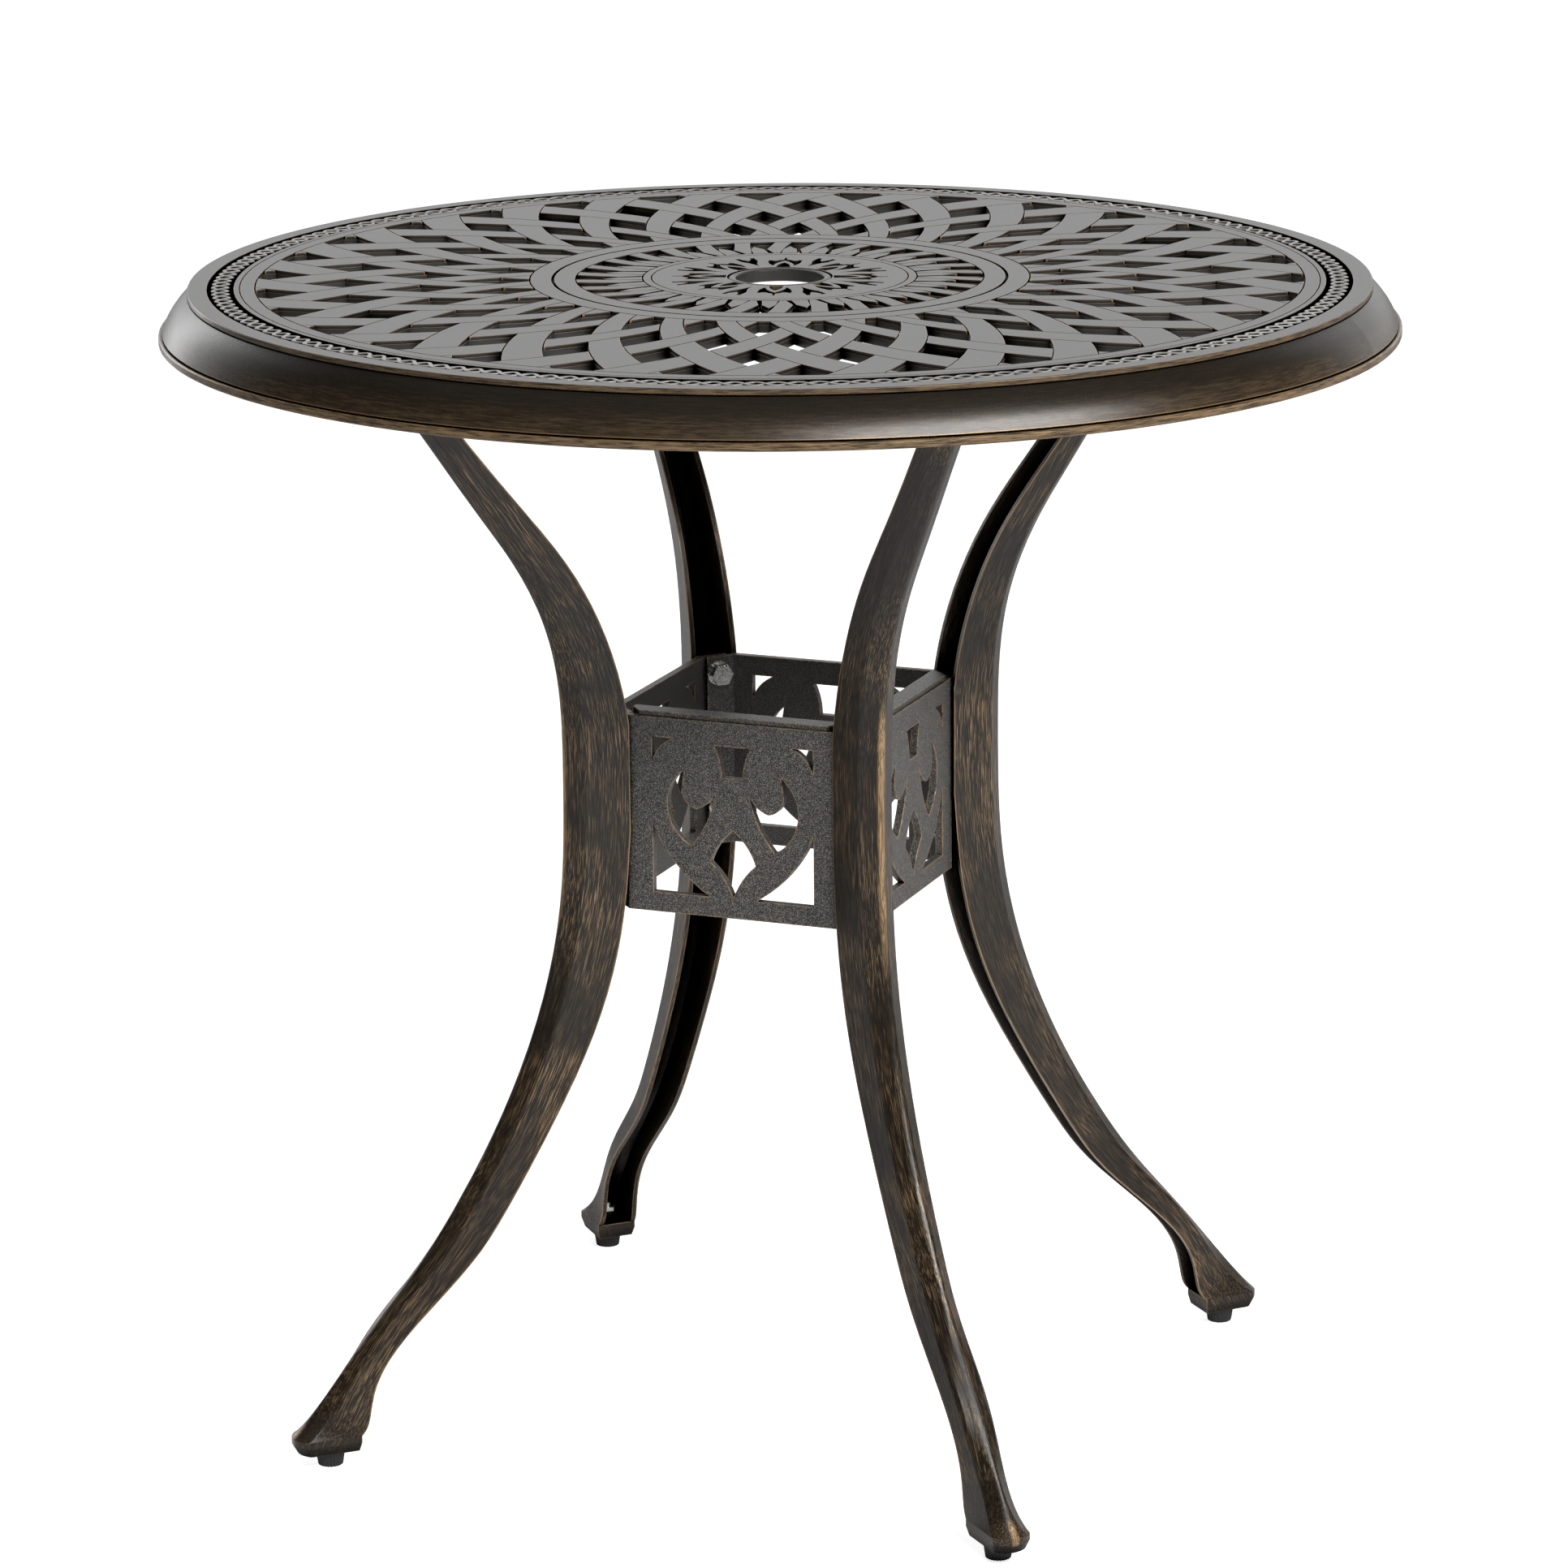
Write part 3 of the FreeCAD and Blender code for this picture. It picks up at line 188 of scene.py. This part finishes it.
TOP_COAT_GRAIN = 2600.0
GLINT_GRAIN = 1100.0
GLINT_LIMITS = (0.60, 0.68)
GLINT_REACH = 0.006
GLINT_CORNER_LIMITS = (0.85, 0.5)
TOP_EDGE_REACH = 0.0012
TOP_EDGE_LIMITS = (0.25, 0.6)
TOP_EDGE_WEAR_AND_PAINTED_HIGHLIGHT_LEVELS = (0.0, 0.55)
TOP_SHADE_REACH = 0.009
TOP_SHADE_LIMITS = (0.55, 0.95)
FACE_ROUGHNESS = 0.24
FLANK_ROUGHNESS = 0.18
FACE_GLOSS = 0.5
FLANK_GLOSS = 0.35

# Panels: a fine pale speckle and worn edges
PANEL_GRAIN = 2700.0
PANEL_SPECK_LIMITS = (0.52, 0.64)
PANEL_EDGE_REACH = 0.0012
PANEL_EDGE_LIMITS = (0.2, 0.5)
PANEL_EDGE_GRAIN = 300.0
PANEL_EDGE_GRAIN_LIMITS = (0.35, 0.55)
PANEL_SHADE_REACH = 0.05
PANEL_SHADE_LIMITS = (0.15, 0.6)
PANEL_METALLIC = 0.7
PANEL_ROUGHNESS = 0.40
PANEL_GLOSS = 0.5
PANEL_RELIEF = 0.0002
PANEL_BUMP = 0.6


# Node trees

class Nodes:
    """Short calls for the nodes that the materials and the world share."""

    def __init__(self, tree):
        self.tree = tree
        self.tree.nodes.clear()

    def add(self, kind, inputs=None, **settings):
        """New node, each of its inputs set to a value or joined to another node's output."""
        node = self.tree.nodes.new(kind)
        for key, value in settings.items():
            setattr(node, key, value)
        for key, value in (inputs or {}).items():
            if isinstance(value, bpy.types.NodeSocket):
                self.tree.links.new(value, node.inputs[key])
            else:
                node.inputs[key].default_value = value
        return node

    def math(self, operation, first, second=0.0):
        return self.add("ShaderNodeMath", {0: first, 1: second}, operation=operation).outputs[0]

    def plus(self, first, second):
        return self.math("ADD", first, second)

    def minus(self, first, second):
        return self.math("SUBTRACT", first, second)

    def times(self, first, *others):
        for other in others:
            first = self.math("MULTIPLY", first, other)
        return first

    def most(self, first, *others):
        for other in others:
            first = self.math("MAXIMUM", first, other)
        return first

    def ramp(self, value, limits, levels=(0.0, 1.0)):
        """Smooth step of a value, from the first level at the first limit to the second."""
        inputs = {"Value": value, "From Min": limits[0], "From Max": limits[1],
                  "To Min": levels[0], "To Max": levels[1]}
        return self.add("ShaderNodeMapRange", inputs, interpolation_type="SMOOTHSTEP").outputs[0]

    def between(self, share, first, second):
        """Number that a share of 0 to 1 takes from the first to the second."""
        inputs = {MIX_SHARE: share, MIX_NUMBERS[0]: first, MIX_NUMBERS[1]: second}
        return self.add("ShaderNodeMix", inputs).outputs[MIX_NUMBER_RESULT]

    def mix(self, share, first, second):
        """Colour that a share of 0 to 1 takes from the first to the second."""
        inputs = {MIX_SHARE: share, MIX_COLOURS[0]: first, MIX_COLOURS[1]: second}
        return self.add("ShaderNodeMix", inputs, data_type="RGBA").outputs[MIX_COLOUR_RESULT]

    def seen_by_camera(self):
        return self.add("ShaderNodeLightPath").outputs["Is Camera Ray"]


class Finish(Nodes):
    """Node tree of one material."""

    def __init__(self, name):
        self.material = bpy.data.materials.new(name)
        self.material.use_nodes = True
        super().__init__(self.material.node_tree)
        self.place = self.add("ShaderNodeTexCoord").outputs["Object"]

    def noise(self, grain, place=None, detail=3.0, w=None):
        """Noise of 0 to 1 at a place, in four dimensions where it has a value for W."""
        inputs = {"Vector": place or self.place, "Scale": grain, "Detail": detail,
                  "Roughness": NOISE_ROUGHNESS}
        dimensions = "3D"
        if w is not None:
            dimensions = "4D"
            inputs["W"] = w
        return self.add("ShaderNodeTexNoise", inputs, noise_dimensions=dimensions).outputs["Fac"]

    def openness(self, reach, inside=False):
        """1 on open faces, and less where other faces stand near within the reach."""
        return self.add("ShaderNodeAmbientOcclusion", {"Distance": reach}, samples=OPENNESS_SAMPLES,
                        inside=inside).outputs["AO"]

    def convex(self, reach):
        """1 near outer edges and 0 on flat faces."""
        return self.minus(1.0, self.openness(reach, inside=True))

    def bump(self, height, relief, strength):
        """Normal of a rough surface with rounded edges."""
        rounded = self.add("ShaderNodeBevel", {"Radius": EDGE_RADIUS}, samples=EDGE_SAMPLES)
        inputs = {"Height": height, "Distance": relief, "Strength": strength,
                  "Normal": rounded.outputs["Normal"]}
        return self.add("ShaderNodeBump", inputs).outputs["Normal"]

    def surface(self, **inputs):
        """The finished material, whose shader has these inputs."""
        spaced = {key.replace("_", " "): value for key, value in inputs.items()}
        shader = self.add("ShaderNodeBsdfPrincipled", spaced).outputs[0]
        self.add("ShaderNodeOutputMaterial", {"Surface": shader})
        return self.material

    def xyz(self):
        return self.add("ShaderNodeSeparateXYZ", {0: self.place}).outputs[:]

    def vector(self, x, y, z):
        return self.add("ShaderNodeCombineXYZ", {0: x, 1: y, 2: z}).outputs[0]


# Places on the castings

def ridge_curve(finish, height):
    """Distance of the legs' ridge from the table's middle, at a height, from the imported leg."""
    vertices = nodes["leg_rear_right"].data.vertices
    rise = RIDGE_CURVE_HIGHEST - RIDGE_CURVE_LOWEST
    places = []
    for step in range(RIDGE_CURVE_STEPS + 1):
        level = RIDGE_CURVE_LOWEST + step * rise / RIDGE_CURVE_STEPS
        near = [vertex.co.xy.length for vertex in vertices if abs(vertex.co.z - level) < RIDGE_CURVE_BAND]
        places.append((level, max(near)))
    node = finish.add("ShaderNodeFloatCurve", {"Value": height})
    curve = node.mapping.curves[0]
    for place in places[len(curve.points):]:
        curve.points.new(*place)
    for point, place in zip(curve.points, places):
        point.location = place
    node.mapping.update()
    return node.outputs[0]


def along_leg(finish):
    """Texture place that is drawn out along each leg and differs from leg to leg, the depth behind
    the ridge, and the distance from the leg's middle plane."""
    x, y, z = finish.xyz()
    diagonal = math.sqrt(0.5)
    first = finish.times(finish.plus(x, y), diagonal)
    second = finish.times(finish.minus(x, y), diagonal)
    first_size = finish.math("ABSOLUTE", first)
    second_size = finish.math("ABSOLUTE", second)
    is_first = finish.math("GREATER_THAN", first_size, second_size)
    across = finish.between(is_first, first, second)
    right = finish.math("GREATER_THAN", x, 0.0)
    rear = finish.math("GREATER_THAN", y, 0.0)
    leg_number = finish.plus(right, finish.times(rear, 2.0))
    follow = finish.minus(finish.most(first_size, second_size), ridge_curve(finish, z))
    drawn = finish.plus(finish.math("DIVIDE", z, LEG_STRETCH), leg_number)
    return finish.vector(follow, across, drawn), follow, finish.math("ABSOLUTE", across)


def around_top(finish):
    """Texture place that is drawn out round the table's axis, its value for W, and the radius."""
    x, y, z = finish.xyz()
    radius = finish.math("SQRT", finish.plus(finish.times(x, x), finish.times(y, y)))
    reach = TOP_LINE_RADIUS / TOP_STRETCH
    cosine = finish.times(finish.math("DIVIDE", x, radius), reach)
    sine = finish.times(finish.math("DIVIDE", y, radius), reach)
    return finish.vector(radius, z, cosine), sine, radius


def brush_lines(finish, place, fine_grain, coarse_grain, fine_share, w=None):
    """Lines along a place that is drawn out, and the coarse ones of them alone."""
    fine = finish.noise(fine_grain, place, detail=2.0, w=w)
    coarse = finish.noise(coarse_grain, place, detail=1.0, w=w)
    lines = finish.plus(finish.times(fine, fine_share), finish.times(coarse, 1.0 - fine_share))
    return lines, coarse


# Materials

def bronze(finish, coat, gold_share, lines, grain, roughness, shade, gloss):
    """Dark coat with gold for wear and painted highlights, and painted shade: blacker, less shiny near other
    faces.
    """
    colour = finish.mix(gold_share, coat, GOLD)
    height = finish.plus(finish.times(lines, COAT_LINE_RELIEF), grain)
    # painted shade: the colour goes towards black and the shine drops where other faces stand near
    return finish.surface(Base_Color=finish.mix(shade, BLACK, colour),
                          Metallic=finish.times(gold_share, GOLD_METALLIC),
                          Roughness=finish.plus(finish.times(grain, COAT_GRAIN_ROUGHNESS), roughness),
                          Specular_IOR_Level=finish.times(shade, gloss),
                          Normal=finish.bump(height, COAT_RELIEF, COAT_BUMP))


def leg_bronze():
    """Brown and black lines along the leg, with gold on the ridge, in patches and at the edges."""
    finish = Finish("leg_bronze")
    place, follow, across = along_leg(finish)
    lines, coarse = brush_lines(finish, place, LEG_FINE_GRAIN, LEG_COARSE_GRAIN, LEG_FINE_SHARE)
    shade = finish.ramp(finish.openness(LEG_SHADE_REACH), LEG_SHADE_LIMITS)
    ridge = finish.times(finish.ramp(across, RIDGE_ACROSS_LIMITS), finish.ramp(follow, RIDGE_DEPTH_LIMITS),
                         finish.ramp(lines, RIDGE_LINE_LIMITS, RIDGE_LEVELS))
    patches = finish.ramp(finish.noise(LEG_PATCH_GRAIN, detail=2.0), LEG_PATCH_LIMITS, LEG_PATCH_LEVELS)
    brushed = finish.times(finish.ramp(lines, LEG_BRUSHED_LIMITS), shade, patches)
    edge = finish.times(finish.ramp(finish.convex(LEG_EDGE_REACH), LEG_EDGE_LIMITS),
                        finish.ramp(coarse, LEG_EDGE_LINE_LIMITS, LEG_EDGE_LEVELS))
    gold_share = finish.most(brushed, ridge, edge)
    coat = finish.mix(finish.ramp(lines, LEG_BROWN_LIMITS, LEG_BROWN_LEVELS), COAT, COAT_BROWN)
    grain = finish.noise(LEG_COAT_GRAIN, detail=2.0)
    return bronze(finish, coat, gold_share, lines, grain, LEG_ROUGHNESS, shade, LEG_GLOSS)


def top_bronze():
    """Painted sheen greys the face, a smooth brown flank lighter low down as painted highlight, gold on both
    lips.
    """
    finish = Finish("top_bronze")
    place, w, radius = around_top(finish)
    below = finish.minus(TABLE_HEIGHT, finish.xyz()[2])
    lines = brush_lines(finish, place, TOP_FINE_GRAIN, TOP_COARSE_GRAIN, TOP_FINE_SHARE, w)[0]
    flank = finish.ramp(radius, FLANK_LIMITS)
    lip = finish.times(flank, finish.ramp(below, LIP_DEPTH_LIMITS, LIP_DEPTH_LEVELS))
    lips = finish.times(finish.most(lip, finish.ramp(radius, LOWER_LIP_LIMITS)),
                        finish.ramp(lines, LIP_LINE_LIMITS, LIP_LINE_LEVELS))
    # painted highlight: the flank's gold brushing grows stronger towards its lower part
    brushed = finish.times(flank, finish.ramp(below, FLANK_PAINTED_GLOW_DEPTHS, FLANK_BRUSHED_AND_PAINTED_GLOW_LEVELS),
                           finish.ramp(lines, FLANK_LINE_LIMITS, FLANK_LINE_LEVELS))
    # painted glints: gold specks in the corners and hollows of the face
    glints = finish.times(finish.ramp(finish.noise(GLINT_GRAIN, detail=2.0), GLINT_LIMITS),
                          finish.ramp(finish.openness(GLINT_REACH), GLINT_CORNER_LIMITS))
    # gold on the outer edges: edge wear, and a painted highlight where the edges catch light
    edge = finish.ramp(finish.convex(TOP_EDGE_REACH), TOP_EDGE_LIMITS, TOP_EDGE_WEAR_AND_PAINTED_HIGHLIGHT_LEVELS)
    # painted shade: the floor of the braid's channel is drawn black, with no gold and no shine
    channel = finish.times(finish.ramp(below, CHANNEL_TOP_LIMITS),
                           finish.ramp(below, CHANNEL_BOTTOM_LIMITS),
                           finish.ramp(radius, CHANNEL_INNER_LIMITS),
                           finish.ramp(radius, CHANNEL_OUTER_LIMITS))
    clear_of_channel_shade = finish.minus(1.0, channel)
    gold_share = finish.times(finish.most(lips, brushed, glints, edge), clear_of_channel_shade)
    shade = finish.times(finish.ramp(finish.openness(TOP_SHADE_REACH), TOP_SHADE_LIMITS), clear_of_channel_shade)
    # painted sheen: the face takes a lighter, greyer coat than the flank
    coat = finish.mix(flank, FACE_COAT_PAINTED_SHEEN, COAT)
    grain = finish.noise(TOP_COAT_GRAIN, detail=2.0)
    roughness = finish.between(flank, FACE_ROUGHNESS, FLANK_ROUGHNESS)
    gloss = finish.between(flank, FACE_GLOSS, FLANK_GLOSS)
    return bronze(finish, coat, gold_share, lines, grain, roughness, shade, gloss)


def panel_bronze():
    """Dark coat with pale specks, broken gold along the edges, and painted shade near other faces."""
    finish = Finish("panel_bronze")
    grain = finish.noise(PANEL_GRAIN, detail=1.0)
    coat = finish.mix(finish.ramp(grain, PANEL_SPECK_LIMITS), *PANEL_COLOURS)
    edge = finish.times(finish.ramp(finish.convex(PANEL_EDGE_REACH), PANEL_EDGE_LIMITS),
                        finish.ramp(finish.noise(PANEL_EDGE_GRAIN), PANEL_EDGE_GRAIN_LIMITS))
    # painted shade: darker, with less shine, where other faces stand near
    shade = finish.ramp(finish.openness(PANEL_SHADE_REACH), PANEL_SHADE_LIMITS)
    return finish.surface(Base_Color=finish.mix(shade, BLACK, finish.mix(edge, coat, GOLD)),
                          Metallic=finish.times(edge, PANEL_METALLIC), Roughness=PANEL_ROUGHNESS,
                          Specular_IOR_Level=finish.times(shade, PANEL_GLOSS),
                          Normal=finish.bump(grain, PANEL_RELIEF, PANEL_BUMP))


def grained(name, grain, detail, colours, metallic, roughness, relief, strength):
    """Surface whose colour, roughness and height follow one grain."""
    finish = Finish(name)
    specks = finish.noise(grain, detail=detail)
    return finish.surface(Base_Color=finish.mix(specks, *colours), Metallic=metallic,
                          Roughness=finish.ramp(specks, GRAIN_LIMITS, roughness),
                          Normal=finish.bump(specks, relief, strength))


# pale grey braid: the bronze coat drawn light as painted sheen on the strands
def braid_bronze_painted_sheen():
    return grained("braid_bronze_painted_sheen", grain=1500.0, detail=2.0, colours=BRAID_PAINTED_SHEEN_COLOURS, metallic=0.45,
                   roughness=(0.28, 0.42), relief=0.00008, strength=0.5)


def zinc():
    return grained("zinc_plate", grain=700.0, detail=3.0, colours=ZINC_COLOURS, metallic=1.0,
                   roughness=(0.18, 0.34), relief=0.00005, strength=0.4)


def black_nylon():
    return grained("black_nylon", grain=1800.0, detail=3.0, colours=NYLON_COLOURS, metallic=0.0,
                   roughness=(0.42, 0.6), relief=0.0001, strength=0.5)


def dress(node, material):
    """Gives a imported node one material, on every slot."""
    mesh = nodes[node].data
    mesh.materials.clear()
    mesh.materials.append(material)


def put(name, data):
    """New object in the scene."""
    piece = bpy.data.objects.new(name, data)
    bpy.context.scene.collection.objects.link(piece)
    return piece


# Braid in the rim's channel

def strand_mesh(name, phase):
    """One strand of the twisted pair, as a flattened tube that closes on itself."""
    steps = BRAID_TURNS * STRAND_STEPS_PER_TURN
    middle = (BRAID_OUTER + BRAID_INNER) / 2
    rest = TABLE_HEIGHT - BRAID_FLOOR_DEPTH + STRAND_LIFT + STRAND_HALF_HEIGHT
    points = []
    faces = []
    for step in range(steps):
        angle = 2 * math.pi * step / steps
        swing = BRAID_TURNS * angle + phase
        outwards = Vector((math.cos(angle), math.sin(angle), 0))
        along = Vector((-math.sin(angle), math.cos(angle), 0))
        radius = middle + STRAND_SWING * math.sin(swing)
        lean = STRAND_SWING * BRAID_TURNS * math.cos(swing)
        direction = (along * radius + outwards * lean).normalized()
        side = Vector((direction.y, -direction.x, 0))
        centre = outwards * radius + Vector((0, 0, rest + STRAND_LIFT * math.cos(swing)))
        following = (step + 1) % steps
        for corner in range(STRAND_SIDES):
            turn = 2 * math.pi * corner / STRAND_SIDES
            height = Vector((0, 0, STRAND_HALF_HEIGHT * math.sin(turn)))
            points.append(centre + side * (STRAND_HALF_WIDTH * math.cos(turn)) + height)
            other = (corner + 1) % STRAND_SIDES
            faces.append((step * STRAND_SIDES + corner, step * STRAND_SIDES + other,
                          following * STRAND_SIDES + other, following * STRAND_SIDES + corner))
    mesh = bpy.data.meshes.new(name)
    mesh.from_pydata(points, [], faces)
    mesh.update()
    for polygon in mesh.polygons:
        polygon.use_smooth = True
    return mesh


def braid(material):
    """Both strands, half a turn apart."""
    for name, phase in (("braid_strand_a", 0.0), ("braid_strand_b", math.pi)):
        strand = put(name, strand_mesh(name, phase))
        strand.data.materials.append(material)
        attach(strand, "table_frame")


# Stage

def aimed(place, aim):
    """Matrix of a camera or a lamp that stands at a place and looks at another."""
    looking = (Vector(aim) - Vector(place)).normalized()
    return Matrix.Translation(place) @ looking.to_track_quat("-Z", "Y").to_matrix().to_4x4()


def camera():
    """Camera at the photograph's place, with its slight roll."""
    data = bpy.data.cameras.new("camera")
    data.lens = CAMERA_LENS_MM
    data.sensor_width = CAMERA_SENSOR_MM
    data.clip_end = CAMERA_REACH
    place = (CAMERA_DISTANCE * math.sin(CAMERA_AZIMUTH), -CAMERA_DISTANCE * math.cos(CAMERA_AZIMUTH),
             CAMERA_HEIGHT)
    seen_from = put("camera", data)
    seen_from.matrix_world = aimed(place, (0, 0, CAMERA_AIM_HEIGHT)) @ Matrix.Rotation(CAMERA_ROLL, 4, "Z")
    bpy.context.scene.camera = seen_from


def floor():
    """Pale floor that glows for the camera alone, so it looks near white and keeps the shadow."""
    corners = [(x * FLOOR_HALF_SIZE, y * FLOOR_HALF_SIZE, 0) for x, y in ((-1, -1), (1, -1), (1, 1), (-1, 1))]
    mesh = bpy.data.meshes.new("floor")
    mesh.from_pydata(corners, [], [(0, 1, 2, 3)])
    finish = Finish("pale_floor")
    glow = finish.times(finish.seen_by_camera(), FLOOR_GLOW)
    mesh.materials.append(finish.surface(Base_Color=FLOOR_GREY, Roughness=FLOOR_ROUGHNESS,
                                         Emission_Color=WHITE, Emission_Strength=glow))
    put("floor", mesh)


def softbox(name, place, aim, width, height, power):
    """Rectangular lamp that shines from a place at another, with its power in watts."""
    data = bpy.data.lights.new(name, "AREA")
    data.shape = "RECTANGLE"
    data.size = width
    data.size_y = height
    data.energy = power
    put(name, data).matrix_world = aimed(place, aim)


def world():
    """White all round for the camera, and otherwise a studio that is white behind the table, grey
    above it and dark in front of it."""
    surroundings = bpy.data.worlds.new("studio")
    surroundings.use_nodes = True
    bpy.context.scene.world = surroundings
    sky = Nodes(surroundings.node_tree)
    direction = sky.add("ShaderNodeTexCoord").outputs["Generated"]
    towards_camera = (math.sin(CAMERA_AZIMUTH), -math.cos(CAMERA_AZIMUTH), 0.0)
    in_front = sky.add("ShaderNodeVectorMath", {0: direction, 1: towards_camera},
                       operation="DOT_PRODUCT").outputs["Value"]
    upwards = sky.add("ShaderNodeSeparateXYZ", {0: direction}).outputs["Z"]
    behind = sky.ramp(in_front, BACKDROP_LIMITS, (BACKDROP_LIGHT, FRONT_LIGHT))
    overhead = sky.ramp(upwards, OVERHEAD_LIMITS, (0.0, OVERHEAD_LIGHT))
    strength = sky.between(sky.seen_by_camera(), sky.most(behind, overhead), CAMERA_WHITE)
    background = sky.add("ShaderNodeBackground", {"Strength": strength}).outputs[0]
    sky.add("ShaderNodeOutputWorld", {0: background})


def studio():
    """A weak tall lamp behind at the left, and a strong wide one high up in front at the right."""
    softbox("left_light", place=(-2.7, 1.7, 1.0), aim=(0, 0, 0.4), width=0.5, height=1.8, power=8.0)
    softbox("right_light", place=(2.7, -1.75, 2.9), aim=(0, 0, 0.5), width=3.2, height=0.5, power=190.0)


bpy.context.scene.view_settings.view_transform = "Standard"
camera()
floor()
world()
studio()

top = top_bronze()
legs = leg_bronze()
panels = panel_bronze()
metal = zinc()
nylon = black_nylon()
dress("tabletop", top)
for name in LEG_NAMES:
    dress("leg_" + name, legs)
    dress("leveller_stud_" + name, metal)
    dress("glide_pad_" + name, nylon)
for name in PANEL_NAMES:
    dress("brace_panel_" + name, panels)
for place in ("brace", "top"):
    for kind in ("bolts", "flat_washers", "spring_washers"):
        dress(place + "_" + kind, metal)
dress("foot_inserts", metal)
dress("foot_lock_nuts", metal)
braid(braid_bronze_painted_sheen())
